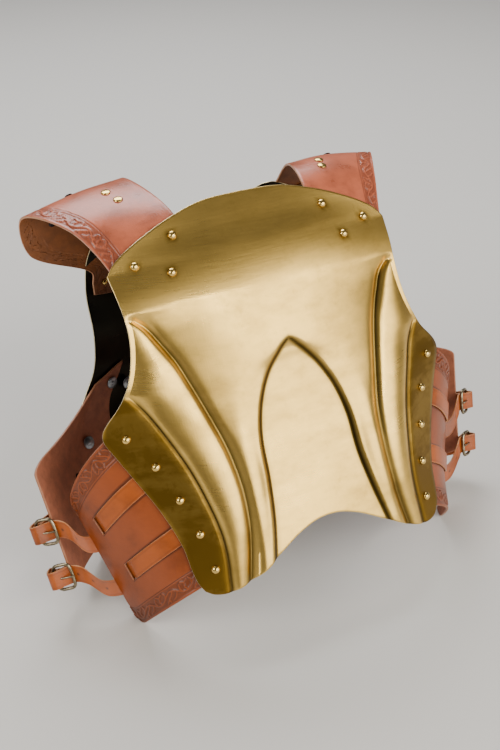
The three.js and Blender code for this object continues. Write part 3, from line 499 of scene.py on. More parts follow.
def make_object(name, vertices, faces, slot, replaced, values=None, mirror=False):
    """A piece from torso points, with values per vertex; its faces are turned over where it is mirrored."""
    vertices = np.asarray(vertices, float).reshape(-1, 3)
    if mirror:
        vertices = vertices * (-1, 1, 1)
        faces = [face[::-1] for face in faces]
    mesh = bpy.data.meshes.new(name)
    mesh.from_pydata(to_row(vertices).tolist(), [], [list(map(int, face)) for face in faces])
    mesh.update()
    mesh.polygons.foreach_set("use_smooth", [True] * len(mesh.polygons))
    for key, value in (values or {}).items():
        attribute = mesh.attributes.new(key, "FLOAT", "POINT")
        attribute.data.foreach_set("value", np.asarray(value, float).ravel())
    piece = bpy.data.objects.new(name, mesh)
    bpy.context.collection.objects.link(piece)
    mesh.materials.append(LOOKS[slot])
    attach(piece, "root")
    if replaced:
        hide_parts(*replaced)


RIM_TURNS = (0.25, 0.5, 0.75)


def leaf(points, thickness, rounding, kept=None):
    """A sheet behind a grid of points, with rounded rims round it and its openings."""
    rows, columns = points.shape[:2]
    normals = grid_normals(points)
    thickness = np.broadcast_to(thickness, (rows, columns))[..., None]
    count = rows * columns
    vertices = [points.reshape(-1, 3), (points - normals * thickness).reshape(-1, 3)]
    kept = np.ones((rows - 1, columns - 1), bool) if kept is None else kept
    faces = []
    directed = []
    index = np.arange(count).reshape(rows, columns)
    for r, c in np.argwhere(kept):
        a, b, e, d = index[r, c], index[r + 1, c], index[r + 1, c + 1], index[r, c + 1]
        faces.append((a, b, e, d))
        faces.append((a + count, d + count, e + count, b + count))
        if c == 0 or not kept[r, c - 1]:
            directed.append((a, b))
        if r == rows - 2 or not kept[r + 1, c]:
            directed.append((b, e))
        if c == columns - 2 or not kept[r, c + 1]:
            directed.append((e, d))
        if r == 0 or not kept[r - 1, c]:
            directed.append((d, a))
    flat_points, flat_normals = points.reshape(-1, 3), normals.reshape(-1, 3)
    outward = {}
    for u, v in directed:
        side = unit(np.cross(flat_points[v] - flat_points[u], flat_normals[u] + flat_normals[v]))
        for w in (u, v):
            outward[w] = outward.get(w, 0) + side
    rim = {}
    total = 2 * count
    flat_thickness = thickness.reshape(-1)
    for w, side in outward.items():
        side = unit(side)
        ring = []
        for turn in RIM_TURNS:
            out = math.sin(turn * math.pi) * rounding
            depth = flat_thickness[w] * (0.5 - 0.5 * math.cos(turn * math.pi))
            vertices.append((flat_points[w] + side * out - flat_normals[w] * depth)[None])
            ring.append(total)
            total += 1
        rim[w] = [w, *ring, w + count]
    for u, v in directed:
        for k in range(len(RIM_TURNS) + 1):
            faces.append((rim[v][k], rim[u][k], rim[u][k + 1], rim[v][k + 1]))
    source = np.concatenate([np.arange(count), np.arange(count), np.repeat(list(outward), len(RIM_TURNS))])
    return np.concatenate(vertices), faces, source


def turned(profile, sides):
    """Vertices and faces of a solid turned about Y, from a profile of radius and height."""
    vertices = []
    faces = []
    for radius, height in profile:
        for k in range(sides):
            turn = 2 * math.pi * k / sides
            vertices.append((radius * math.cos(turn), height, radius * math.sin(turn)))
    for j in range(len(profile) - 1):
        for k in range(sides):
            n = (k + 1) % sides
            faces.append((j * sides + k, (j + 1) * sides + k, (j + 1) * sides + n, j * sides + n))
    return np.array(vertices), faces


def placed(vertices, position, normal, along):
    y = unit(np.asarray(normal))
    z = unit(np.cross(along, y))
    x = np.cross(y, z)
    return vertices @ np.array([x, y, z]) + position


# Materials


def new_material(name):
    material = bpy.data.materials.new(name)
    material.use_nodes = True
    tree = material.node_tree
    return material, tree, tree.nodes["Principled BSDF"]


def node(tree, kind, **sockets):
    made = tree.nodes.new(kind)
    for key, value in sockets.items():
        made.inputs[key.replace("_", " ")].default_value = value
    return made


def math_node(tree, operation, a, b):
    made = tree.nodes.new("ShaderNodeMath")
    made.operation = operation
    for socket, value in zip(made.inputs, (a, b)):
        if isinstance(value, bpy.types.NodeSocket):
            tree.links.new(value, socket)
        else:
            socket.default_value = value
    return made.outputs[0]


def attribute(tree, name):
    made = tree.nodes.new("ShaderNodeAttribute")
    made.attribute_name = name
    return made.outputs["Fac"]


def noise(tree, scale, detail=4.0, roughness=0.55, stretch=(1, 1, 1), turn=(0, 0, 0)):
    """Noise in the object's own metres, stretched along a direction where asked."""
    place = tree.nodes.new("ShaderNodeTexCoord")
    mapping = tree.nodes.new("ShaderNodeMapping")
    mapping.inputs["Scale"].default_value = stretch
    mapping.inputs["Rotation"].default_value = turn
    made = node(tree, "ShaderNodeTexNoise", Scale=scale, Detail=detail, Roughness=roughness)
    tree.links.new(place.outputs["Object"], mapping.inputs["Vector"])
    tree.links.new(mapping.outputs["Vector"], made.inputs["Vector"])
    return made.outputs["Fac"]


def ramp(tree, value, *stops):
    """A value or colour read from stops of (place, colour)."""
    made = tree.nodes.new("ShaderNodeValToRGB")
    elements = made.color_ramp.elements
    while len(elements) < len(stops):
        elements.new(0.5)
    for element, (place, colour) in zip(elements, stops):
        element.position = place
        element.color = (colour,) * 3 + (1,) if isinstance(colour, (int, float)) else (*colour, 1)
    tree.links.new(value, made.inputs["Fac"])
    return made.outputs["Color"]


def blend_colours(tree, share, first, second):
    made = tree.nodes.new("ShaderNodeMix")
    made.data_type = "RGBA"
    colours = [socket for socket in made.inputs if socket.type == "RGBA"]
    for socket, value in zip([made.inputs["Factor"], *colours], (share, first, second)):
        if isinstance(value, bpy.types.NodeSocket):
            tree.links.new(value, socket)
        elif isinstance(value, (int, float)):
            socket.default_value = value
        else:
            socket.default_value = (*value, 1)
    return next(socket for socket in made.outputs if socket.type == "RGBA")


def bump(tree, shader, heights, distance):
    """Chains bumps of heights, each with its strength."""
    last = None
    for height, strength in heights:
        made = node(tree, "ShaderNodeBump", Strength=strength, Distance=distance)
        tree.links.new(height, made.inputs["Height"])
        if last:
            tree.links.new(last, made.inputs["Normal"])
        last = made.outputs["Normal"]
    tree.links.new(last, shader.inputs["Normal"])


def add_share(tree, value, other, share):
    """A value with a share of another one added."""
    return math_node(tree, "ADD", value, math_node(tree, "MULTIPLY", other, share))


def cover_share(tree, value, low, high, share):
    """A share of how far a value has come from low to high."""
    return math_node(tree, "MULTIPLY", ramp(tree, value, (low, 0.0), (high, 1.0)), share)


WORN_BRASS = (0.93, 0.86, 0.62)
UNSEEN_BRASS = (0.02, 0.018, 0.013)
BUMP_HEIGHT = 0.0006


def brass_material(name, bright, dark, crease, roughness):
    """Hand-finished brass: cloudy tarnish, hairline scratches, near-black painted shade in the creases,
    per-vertex darkening with painted shade on the upper chest, and a pale worn edge.
    """
    material, tree, shader = new_material(name)
    clouds = noise(tree, 7, 5, 0.62)
    smears = noise(tree, 14, 4, 0.6, (1, 1, 3), (0.2, 0.4, 0))
    specks = noise(tree, 90, 3, 0.6)
    tarnish_and_shade = cover_share(tree, clouds, 0.38, 0.7, 0.34)
    tarnish_and_shade = math_node(tree, "ADD", tarnish_and_shade, cover_share(tree, smears, 0.45, 0.7, 0.24))
    tarnish_and_shade = math_node(tree, "ADD", tarnish_and_shade, cover_share(tree, specks, 0.55, 0.75, 0.12))
    # Per-vertex darkening, with painted shade on the upper chest, is added to the tarnish
    tarnish_and_shade = math_node(tree, "MINIMUM", math_node(tree, "ADD", tarnish_and_shade, attribute(tree, "patina")), 1.0)
    colour = blend_colours(tree, tarnish_and_shade, bright, dark)
    # Painted shade: the creases are coloured near-black
    colour = blend_colours(tree, attribute(tree, "crease"), colour, crease)
    colour = blend_colours(tree, attribute(tree, "worn"), colour, WORN_BRASS)
    colour = blend_colours(tree, attribute(tree, "inside"), colour, UNSEEN_BRASS)
    tree.links.new(colour, shader.inputs["Base Color"])
    shader.inputs["Metallic"].default_value = 1.0
    hairs = noise(tree, 40, 3, 0.5, (1, 1, 26), (0.3, 0.5, 0.2))
    cross = noise(tree, 34, 3, 0.5, (24, 1, 1), (0.9, 0.2, 0.6))
    rough = add_share(tree, roughness - 0.08, clouds, 0.16)
    rough = add_share(tree, rough, hairs, 0.08)
    rough = add_share(tree, rough, tarnish_and_shade, 0.1)
    tree.links.new(rough, shader.inputs["Roughness"])
    bump(tree, shader, [(hairs, 0.1), (cross, 0.08), (noise(tree, 13, 2), 0.35)], BUMP_HEIGHT)
    return material


def scaled(colour, share):
    return tuple(channel * share for channel in colour)


def leather_material(name, grain_side, flesh_side, cut_edge, roughness):
    """Waxed leather: cloudy dye, pores, darkened tooling with painted shade given per vertex, a raw inner
    side and pale cut edges.
    """
    material, tree, shader = new_material(name)
    clouds = noise(tree, 22, 5, 0.6)
    deep = scaled(grain_side, 0.55)
    pale = scaled(grain_side, 1.2)
    tooled = scaled(grain_side, 0.16)
    colour = ramp(tree, clouds, (0.3, deep), (0.52, grain_side), (0.75, pale))
    streaks = noise(tree, 120, 3, 0.6, (1, 1, 3))
    colour = blend_colours(tree, math_node(tree, "MULTIPLY", streaks, 0.3), colour, deep)
    # The tooled values darken the tooling, and they also paint shadow beside the belts and shade in the
    # punched holes
    darkened = math_node(tree, "MULTIPLY", attribute(tree, "tooled"), 0.9)
    colour = blend_colours(tree, darkened, colour, tooled)
    flesh = ramp(tree, noise(tree, 70, 5, 0.7), (0.3, scaled(flesh_side, 0.6)), (0.7, flesh_side))
    colour = blend_colours(tree, attribute(tree, "inside"), colour, flesh)
    fibres = ramp(tree, noise(tree, 260, 3), (0.3, 0.55), (0.6, 1.0))
    frayed = math_node(tree, "MULTIPLY", attribute(tree, "cut"), fibres)
    colour = blend_colours(tree, frayed, colour, cut_edge)
    tree.links.new(colour, shader.inputs["Base Color"])
    rough = add_share(tree, roughness - 0.1, clouds, 0.2)
    rough = add_share(tree, rough, attribute(tree, "inside"), 0.25)
    tree.links.new(rough, shader.inputs["Roughness"])
    pores = node(tree, "ShaderNodeTexVoronoi", Scale=900.0)
    place = tree.nodes.new("ShaderNodeTexCoord")
    tree.links.new(place.outputs["Object"], pores.inputs["Vector"])
    grain = noise(tree, 260, 4, 0.6)
    folds = noise(tree, 25, 3)
    bump(tree, shader, [(pores.outputs["Distance"], 0.12), (grain, 0.18), (folds, 0.3)], BUMP_HEIGHT)
    return material


def metal_material(name, colour, dark, roughness):
    material, tree, shader = new_material(name)
    wear = ramp(tree, noise(tree, 180, 4, 0.6), (0.35, 0.0), (0.7, 1.0))
    tree.links.new(blend_colours(tree, wear, dark, colour), shader.inputs["Base Color"])
    shader.inputs["Metallic"].default_value = 1.0
    rough = add_share(tree, roughness + 0.06, wear, -0.12)
    tree.links.new(rough, shader.inputs["Roughness"])
    bump(tree, shader, [(noise(tree, 320, 3), 0.15)], 0.0005)
    return material


# Brass has a bright, a tarnished and a painted crease-shade colour, other metals a worn and a dark one,
# and leather has its grain side, its flesh side and its cut edge; the roughness comes last
LOOKS = {
    "brass_plate": brass_material(
        "plate_brass", (0.82, 0.54, 0.14), (0.18, 0.1, 0.012), (0.028, 0.016, 0.004), 0.25),
    "brass_rivet": metal_material("rivet_brass", (0.88, 0.64, 0.22), (0.62, 0.42, 0.12), 0.2),
    "aged_brass": metal_material("aged_brass", (0.42, 0.36, 0.24), (0.13, 0.10, 0.06), 0.32),
    "steel_rivet": metal_material("washer_steel", (0.5, 0.52, 0.55), (0.26, 0.28, 0.31), 0.36),
    "blackened_stud": metal_material("blackened", (0.05, 0.05, 0.055), (0.015, 0.015, 0.018), 0.25),
    "strap_leather": leather_material(
        "strap_leather", (0.5, 0.125, 0.06), (0.26, 0.08, 0.018), (0.5, 0.3, 0.17), 0.3),
    # The side leather's flesh side is partly its own raw colour and partly painted light, lightened to make
    # up for the shade it lies in
    "side_leather": leather_material(
        "side_leather", (0.27, 0.054, 0.008), (0.5, 0.165, 0.085), (0.5, 0.24, 0.13), 0.36),
    "belt_leather": leather_material(
        "belt_leather", (0.38, 0.078, 0.006), (0.4, 0.13, 0.04), (0.66, 0.34, 0.15), 0.34),
}


# Tooling: a vine between the leather's edge and an engraved line, its ground pressed down

VINE_PERIOD = 40.0
VINE_BAND = 22.0
VINE_DEPTH = 0.85
VINE_EDGE = 1.8
VINE_LINE_ROOM = 1.4
VINE_HALF_WIDTH = 1.0
TOOL_WIDTH = 0.5
ENGRAVED_WIDTH = 0.55
VINE = [
    [(0, 11), (6, 14.5), (12, 15.5), (18, 12.5), (22, 9), (28, 6), (34, 7), (40, 11)],
    [(7, 15), (11, 10.5), (15.5, 7.5), (15, 4)],
    [(15.5, 7.5), (20, 3.6)],
    [(27, 6.2), (30, 11), (29, 15.5), (25, 18)],
    [(29, 15.5), (34, 18.2)],
    [(1, 11.5), (4.5, 6.5), (9.5, 4.2)],
    [(20.5, 10.5), (19.5, 15), (22, 18.4)],
    [(34.5, 7.3), (37, 12.5), (36, 17)],
]


def vine_distance(s, t):
    """Distance in millimetres from the vine's lines, s along the band and t across it."""
    s = np.mod(s, VINE_PERIOD)
    best = np.full(s.shape, FAR)
    for line in VINE:
        for (ax, ay), (bx, by) in zip(line, line[1:]):
            for shift in (-VINE_PERIOD, 0, VINE_PERIOD):
                px, py = s - ax - shift, t - ay
                dx, dy = bx - ax, by - ay
                share = np.clip((px * dx + py * dy) / (dx * dx + dy * dy), 0, 1)
                best = np.minimum(best, np.hypot(px - dx * share, py - dy * share))
    return best


def tooling(s, t):
    """How far the leather is pressed down, in millimetres, and how dark the tool has left it."""
    away = vine_distance(s, t)
    within = smooth((t - VINE_EDGE) / 0.6) * smooth((VINE_BAND - VINE_LINE_ROOM - t) / 0.6)
    ground = smooth((away - VINE_HALF_WIDTH) / TOOL_WIDTH) * within
    lines = line_mark(t - VINE_BAND, ENGRAVED_WIDTH)
    pressed = VINE_DEPTH * np.maximum(ground, lines)
    outline = line_mark(away - VINE_HALF_WIDTH - 0.35, TOOL_WIDTH) * within
    return pressed, np.maximum(np.maximum(0.5 * ground, outline), lines)


def spaced(*stretches):
    """Shares from 0 to 1 in stretches of (end, count)."""
    made = [np.array([0.0])]
    start = 0.0
    for end, count in stretches:
        made.append(np.linspace(start, end, count + 1)[1:])
        start = end
    return np.concatenate(made)


def shades(source, count, rim, **front):
    """Values per vertex: those of the face carried to the back and the rim, with inside and cut marked."""
    total = len(source)
    inside = np.zeros(total)
    inside[count : 2 * count] = 1
    cut = np.zeros(total)
    cut[2 * count :] = rim
    values = {key: np.asarray(value).ravel()[source] for key, value in front.items()}
    for key in values:
        values[key][count:] *= 0 if key == "tooled" else 1
    return {"inside": inside, "cut": cut, **values}


SIDES = (("l", True), ("r", False))


# Plates

PLATE_ROUNDING = 0.5
LEATHER_ROUNDING = 0.8
BREAST_ROWS = 170
BACK_ROWS = 90
BACK_COLUMNS = 60
EDGE_WORN = 0.8
# The painted shade in the creases: shift from the line, width, darkness, height of the top end and length of
# its fade
INNER_CREASE_SHADE = (1.5, 4.5, 0.88, -40, 20)
OUTER_CREASE_SHADE = (1, 3, 0.95, -120, 15)
ARCH_CREASE_SHADE = (-1, 3.2, 0.95, -96, 8)
ARCH_KNOWN_BELOW = -90
# Darkening of the flange, and of a ring round each rivet
FLANGE_DARKENING = 0.8
FLANGE_DARKENING_TOP = -118
# Painted shade on the upper chest: darkness, height where it starts and length of its fade
CHEST_SHADE = 0.12
CHEST_SHADE_FOOT = -20
CHEST_SHADE_FADE = 50
RIVET_RING_DARKENING = 0.75
RIVET_RING_WIDTH = 4
RIVET_RING_REACH = 20


def crease_line(away, height, shift, width, darkness, top, fade):
    return darkness * line_mark(away - shift, width) * smooth((top - height) / fade)


# Painted shade along the inner and outer flutes and the arch, darkest on the crease lines
def breast_creases(reach, height):
    arch_away = np.where(height < ARCH_KNOWN_BELOW, arch_distance(reach, height), FAR)
    inner = crease_line(reach - inner_reach(height), height, *INNER_CREASE_SHADE)
    outer = crease_line(reach - outer_reach(height), height, *OUTER_CREASE_SHADE)
    return np.maximum(np.maximum(inner, outer), crease_line(arch_away, height, *ARCH_CREASE_SHADE))


def breast_patina(reach, height):
    """Darkening of the flange and round each rivet, and painted shade on the upper chest."""
    flange = smooth((reach - outer_reach(height)) / 3) * smooth((FLANGE_DARKENING_TOP - height) / RIDGE_FADE)
    # Painted shade: the upper chest darker towards the top
    chest = smooth((height - CHEST_SHADE_FOOT) / CHEST_SHADE_FADE)
    patina = np.maximum(FLANGE_DARKENING * flange, CHEST_SHADE * chest)
    for x, z in SHOULDER_RIVETS + SIDE_RIVETS:
        away = np.hypot(reach - x, height - z)
        rivet_ring = RIVET_RING_DARKENING * line_mark(away - RIVET_HEAD, RIVET_RING_WIDTH)
        patina = np.maximum(patina, rivet_ring * (away < RIVET_RING_REACH))
    return patina


def make_plate(name, face, patina, crease):
    vertices, faces, source = leaf(face, PLATE, PLATE_ROUNDING)
    count = face.shape[0] * face.shape[1]
    values = shades(source, count, 0, patina=patina, crease=crease)
    values["worn"] = np.where(np.arange(len(source)) < 2 * count, 0, EDGE_WORN)
    make_object(f"{name}_skin", vertices, faces, "brass_plate", [name], values)


face = breast_grid(BREAST_ROWS)
reach, height = np.abs(face[..., 0]), face[..., 2]
make_plate("breastplate", face, breast_patina(reach, height), breast_creases(reach, height))
face = back_grid(BACK_ROWS, BACK_COLUMNS)
plain = np.zeros(face.shape[:2])
make_plate("backplate", face, plain, plain)


# Shoulder straps

STRAP_COLUMNS = 330
STRAP_CUT = 0.85


def path_lengths(points):
    """Distance along a line of points, from its first one to each."""
    steps = np.linalg.norm(np.diff(points, axis=0), axis=-1)
    return np.concatenate([np.zeros((1, *steps.shape[1:])), np.cumsum(steps, axis=0)])


def make_leather(node, face, pressed, dark, rim, slot, mirror, kept=None):
    """A tooled sheet for a node; pressed is how far its face goes down, and rim how raw its cut edge is."""
    lowered = face - grid_normals(face) * pressed[..., None]
    vertices, faces, source = leaf(lowered, LEATHER - pressed, LEATHER_ROUNDING, kept)
    values = shades(source, pressed.size, rim, tooled=dark)
    make_object(f"{node}_leather", vertices, faces, slot, [node], values, mirror)


levels = spaced((0.76, 24), (1.0, 30))
shares = np.linspace(0, 1, STRAP_COLUMNS)
for tag, mirror in SIDES:
    face = np.stack([strap_line(tag, level, shares) for level in levels])
    widths = path_lengths(face[::-1])[::-1]
    lengths = path_lengths(face[-1]) * np.ones_like(widths)
    pressed, dark = tooling(lengths, widths)
    make_leather(f"shoulder_strap_{tag}", face, pressed, dark, STRAP_CUT, "strap_leather", mirror)


# Side panels, with their belt slots cut through

SLOT_HALF_LENGTH = 6.5
SLOT_SIDE_ROOM = 1.5
LOWER_VINE_SHIFT = 13
SIDE_CUT = 0.6
# Painted shadow beside each edge of each belt on the panel: its distance from the edge, width and darkness
BESIDE_BELT = 1.2
BESIDE_BELT_WIDTH = 1.1
BELT_SHADOW_DARK = 0.85
SHARE_DIGITS = 5
panel_length = np.linalg.norm(panel_point(1, 0.5) - panel_point(0, 0.5))
panel_height = np.linalg.norm(panel_point(0.5, 1) - panel_point(0.5, 0))
slot_half_length = SLOT_HALF_LENGTH / panel_length
slot_half_width = (BELT_WIDTH / 2 + SLOT_SIDE_ROOM) / panel_height
along_lines = np.concatenate([
    np.linspace(-1, -0.05, 12),
    np.linspace(0, 1, 116),
    [belt["slot"] + end * slot_half_length for belt in BELTS for end in (-1, 1)],
])
along_lines = np.unique(np.round(along_lines, SHARE_DIGITS))
level_lines = np.concatenate([
    np.linspace(0, 0.13, 32),
    np.linspace(0.13, 0.87, 56),
    np.linspace(0.87, 1, 32),
    [belt["across"] + end * slot_half_width for belt in BELTS for end in (-1, 1)],
])
level_lines = np.unique(np.round(level_lines, SHARE_DIGITS))
along_grid, level_grid = np.meshgrid(along_lines, level_lines)
face = panel_point(along_grid, level_grid)
kept = np.ones((len(level_lines) - 1, len(along_lines) - 1), bool)
middle_along = (along_lines[1:] + along_lines[:-1]) / 2
middle_level = (level_lines[1:] + level_lines[:-1]) / 2
for belt in BELTS:
    inside_along = np.abs(middle_along - belt["slot"]) < slot_half_length
    inside_level = np.abs(middle_level - belt["across"]) < slot_half_width
    kept[np.ix_(inside_level, inside_along)] = False
along_mm = along_grid * panel_length
upper_pressed, upper_dark = tooling(along_mm, level_grid * panel_height)
lower_pressed, lower_dark = tooling(along_mm + LOWER_VINE_SHIFT, (1 - level_grid) * panel_height)
pressed = upper_pressed + lower_pressed
dark = np.maximum(upper_dark, lower_dark)
# Painted shadow along both edges of each belt, from the panel's lap to the far end of its slot
for belt in BELTS:
    aside = np.abs(level_grid - belt["across"]) * panel_height - BELT_WIDTH / 2
    belt_shadow = BELT_SHADOW_DARK * line_mark(aside - BESIDE_BELT, BESIDE_BELT_WIDTH)
    dark = np.maximum(dark, belt_shadow * (along_grid < belt["slot"] + slot_half_length))
for tag, mirror in SIDES:
    make_leather(f"side_panel_{tag}", face, pressed, dark, SIDE_CUT, "side_leather", mirror, kept)


# Back flaps and their eyelets

FLAP_CUT = 0.7
FLAP_ROWS = 70
TURNED_SIDES = 24
EYELET_PROFILE = [(4.6, -0.3), (4.6, 0), (4.4, 0.7), (3.4, 1.1), (2.4, 0.9), (2.2, 0.15), (0.01, 0.1)]
flap_shares = np.concatenate([
    np.linspace(-0.35, -0.02, 14),
    np.linspace(0, 0.9, 50),
    np.linspace(0.91, 1, 24),
])
face = flap_point(flap_shares[None, ::-1], np.linspace(0, 1, FLAP_ROWS)[:, None])
plain = np.zeros(face.shape[:2])
for tag, mirror in SIDES:
    make_leather(f"back_flap_{tag}", face, plain, plain, FLAP_CUT, "side_leather", mirror)
for tag, mirror in SIDES:
    for i, (along, across) in enumerate(EYELETS):
        place, inward, forward, _ = surface_spot(flap_point, along, across)
        vertices, faces = turned(EYELET_PROFILE, TURNED_SIDES)
        vertices = placed(vertices, place + inward * LEATHER, inward, forward)
        make_object(f"eyelet_{i + 1}_{tag}", vertices, faces, "blackened_stud", [], None, mirror)


# Belts, chapes, buckles and prongs

def buckle_frame(belt):
    """Places near a buckle: with turned at 0 they follow the flap, and up to 1 they turn round the bar."""
    def on_flap(along):
        return surface_spot(flap_point, along, belt["buckle"], -1)

    end, end_normal, _, end_turn = on_flap(FLAP_END)
    ahead = np.cross(end_turn, end_normal)
    length = np.linalg.norm(end - on_flap(FLAP_END - 0.2)[0]) / 0.2

    def at(u, n, turned=0):
        behind_bar = u - BUCKLE_HALF_LENGTH
        if turned > 0:
            angle = turned * BUCKLE_TURN
            normal = ahead * math.sin(angle) + end_normal * math.cos(angle)
            back = end_normal * math.sin(angle) - ahead * math.cos(angle)
            bar = end + ahead * belt["reach"] + end_normal * belt["stand"]
            return bar + back * behind_bar + normal * n, end_turn, normal, back
        beyond = belt["reach"] - behind_bar
        position, normal, forward, turn = on_flap(FLAP_END + min(beyond, 0) / length)
        height = mix(CHAPE_STAND, belt["stand"], smooth(1 - behind_bar / CHAPE_RISE)) + n
        return position + ahead * max(beyond, 0) + normal * height, turn, normal, -forward

    return at


def strip(stations, width, samples, columns):
    """A grid over a strip through stations of place, width direction and thickness, and its thicknesses."""
    shares = np.linspace(0, 1, samples + 1)
    centre = catmull([station[0] for station in stations], shares)
    turn = unit(catmull([station[1] for station in stations], shares, 0))
    tangent = unit(np.gradient(centre, axis=0))
    normal = unit(np.cross(turn, tangent))
    given = [station[2] for station in stations]
    thick = np.interp(shares * (len(stations) - 1), np.arange(len(stations)), given)
    sideways = np.linspace(1, -1, columns) * width / 2
    raised = centre + normal * thick[:, None] / 2
    return raised[:, None] + turn[:, None] * sideways[None, :, None], np.repeat(thick[:, None], columns, 1)


WIRE_TIP = 0.35
WIRE_SHOULDER = 0.85


def tube(points, radius, sides, closed):
    """Vertices and faces of round wire along points, and rounded ends where it is open."""
    points = np.asarray(points, float)
    if closed:
        tangent = unit(np.roll(points, -1, 0) - np.roll(points, 1, 0))
    else:
        tangent = unit(np.gradient(points, axis=0))
    reference = unit(np.cross(points[1] - points[0], points[len(points) // 2] - points[0]) + 1e-6)
    side = unit(np.cross(tangent, reference))
    up = np.cross(side, tangent)
    radii = np.full(len(points), float(radius))
    if not closed:
        radii[[0, -1]] = radius * WIRE_TIP
        radii[[1, -2]] = radius * WIRE_SHOULDER
    vertices = []
    for k in range(len(points)):
        for j in range(sides):
            turn = 2 * math.pi * j / sides
            vertices.append(points[k] + radii[k] * (math.cos(turn) * side[k] + math.sin(turn) * up[k]))
    faces = []
    for k in range(len(points) if closed else len(points) - 1):
        for j in range(sides):
            n, m = (k + 1) % len(points), (j + 1) % sides
            faces.append((k * sides + j, k * sides + m, n * sides + m, n * sides + j))
    if not closed:
        faces.append(tuple(range(sides))[::-1])
        faces.append(tuple(range((len(points) - 1) * sides, len(points) * sides)))
    return np.array(vertices), faces


def merged(*shapes):
    vertices, faces, start = [], [], 0
    for points, quads in shapes:
        vertices.append(points)
        faces += [tuple(i + start for i in quad) for quad in quads]
        start += len(points)
    return np.concatenate(vertices), faces


def panel_station(belt, along, out, thick=BELT, level=None):
    level = belt["across"] if level is None else level
    position, normal, _, across = surface_spot(panel_point, along, level)
    return position + normal * out, across, thick


def belt_stations(belt, frame_at):
    top = 1.6 * GAP + BELT / 2
    under = -(LEATHER + 1.6 * GAP + BELT / 2)
    skived = 1.5 * GAP + BELT_SKIVED / 2
    slot = belt["slot"]

    def near(u, n, turned=0, sag=0):
        position, turn, _, _ = frame_at(u, n, turned)
        return position - (0, 0, sag), turn, BELT

    leave = panel_station(belt, 0.99, under, BELT, belt["exit"])
    arrive = near(-24, -3, 1, belt["sag"] / 2)
    hang = (mix(leave[0], arrive[0], 0.5) - (0, 0, belt["sag"]), mix(leave[1], arrive[1], 0.5), BELT)
    return [
        panel_station(belt, -0.9, skived, BELT_SKIVED), panel_station(belt, -0.45, skived, BELT_SKIVED),
        panel_station(belt, -0.04, skived, BELT_SKIVED),
        panel_station(belt, 0.12, top), panel_station(belt, 0.3, top),
        panel_station(belt, slot - 0.16, top), panel_station(belt, slot - 0.06, top),
        panel_station(belt, slot + 0.06, under),
        panel_station(belt, slot + 0.14, under, BELT, mix(belt["across"], belt["exit"], 0.3)),
        leave, hang, arrive,
        near(-12, -3.5, 1), near(0, 0.6, 1), near(11, 7.4, 1), near(11, 7.4, 0.5),
        near(20, 5.8), near(30, 3.4), near(50, 2.2),
    ]


BELT_ROWS = 300
BELT_COLUMNS = 25
BELT_ROUNDING = 0.6
BELT_CUT = 0.8
BELT_LINE_INSET = 2.2
BELT_LINE_WIDTH = 0.8
BELT_LINE_DARK = 0.35
BELT_HOLE = 1.7
BELT_HOLE_BLUR = 0.7
BELT_HOLES = [180, 200, 220, 240, 260]
CHAPE_ROWS = 90
CHAPE_COLUMNS = 9
CHAPE_ROUNDING = 0.5
CHAPE_CUT = 0.6
RING_SEGMENTS = 64
RING_SIDES = 14
EYE_SIDES = 8
PIN_SIDES = 10
PIN_SEGMENTS = 20
# Places in the buckle's plane: distance from its middle towards the bar, and height
CHAPE_LOOP = [
    (52, -3.6), (34, -3.6), (18, -3.55), (11, -3.5), (7.5, 0), (11, 3.5), (17, 2.4), (24, -0.6), (36, -1),
]
PRONG_LINE = [(BUCKLE_HALF_LENGTH - 2.4, 3), (0, 3.1), (-8, 3.5), (PRONG_TIP, 3.8)]


def belt_marks(face):
    """Darkness of the lines along a belt's edges, and painted shade where its row of punched holes would be,
    as the holes are not cut.
    """
    sideways = np.linspace(-1, 1, BELT_COLUMNS) * np.ones((BELT_ROWS + 1, 1)) * BELT_WIDTH / 2
    marks = BELT_LINE_DARK * line_mark(np.abs(sideways) - BELT_WIDTH / 2 + BELT_LINE_INSET, BELT_LINE_WIDTH)
    route = path_lengths(face[:, BELT_COLUMNS // 2])
    # Painted shade: dark round spots stand in for the punched holes
    for place in BELT_HOLES:
        away = np.hypot(sideways, (route - place)[:, None])
        marks = np.maximum(marks, smooth((BELT_HOLE + BELT_HOLE_BLUR - away) / (2 * BELT_HOLE_BLUR)))
    return marks


def rounded_square(value):
    return math.copysign(math.sqrt(abs(value)), value)


def belt_shape(belt, frame_at):
    face, thick = strip(belt_stations(belt, frame_at), BELT_WIDTH, BELT_ROWS, BELT_COLUMNS)
    vertices, faces, source = leaf(face, thick, BELT_ROUNDING)
    return vertices, faces, shades(source, thick.size, BELT_CUT, tooled=belt_marks(face))


def chape_shape(frame_at):
    width_direction = frame_at(BUCKLE_HALF_LENGTH, 0)[1]
    loop = [(frame_at(u, n)[0], width_direction, CHAPE_THICK) for u, n in CHAPE_LOOP]
    face, thick = strip(loop, CHAPE_WIDTH, CHAPE_ROWS, CHAPE_COLUMNS)
    vertices, faces, source = leaf(face, thick, CHAPE_ROUNDING)
    return vertices, faces, shades(source, thick.size, CHAPE_CUT, tooled=np.zeros(thick.shape))


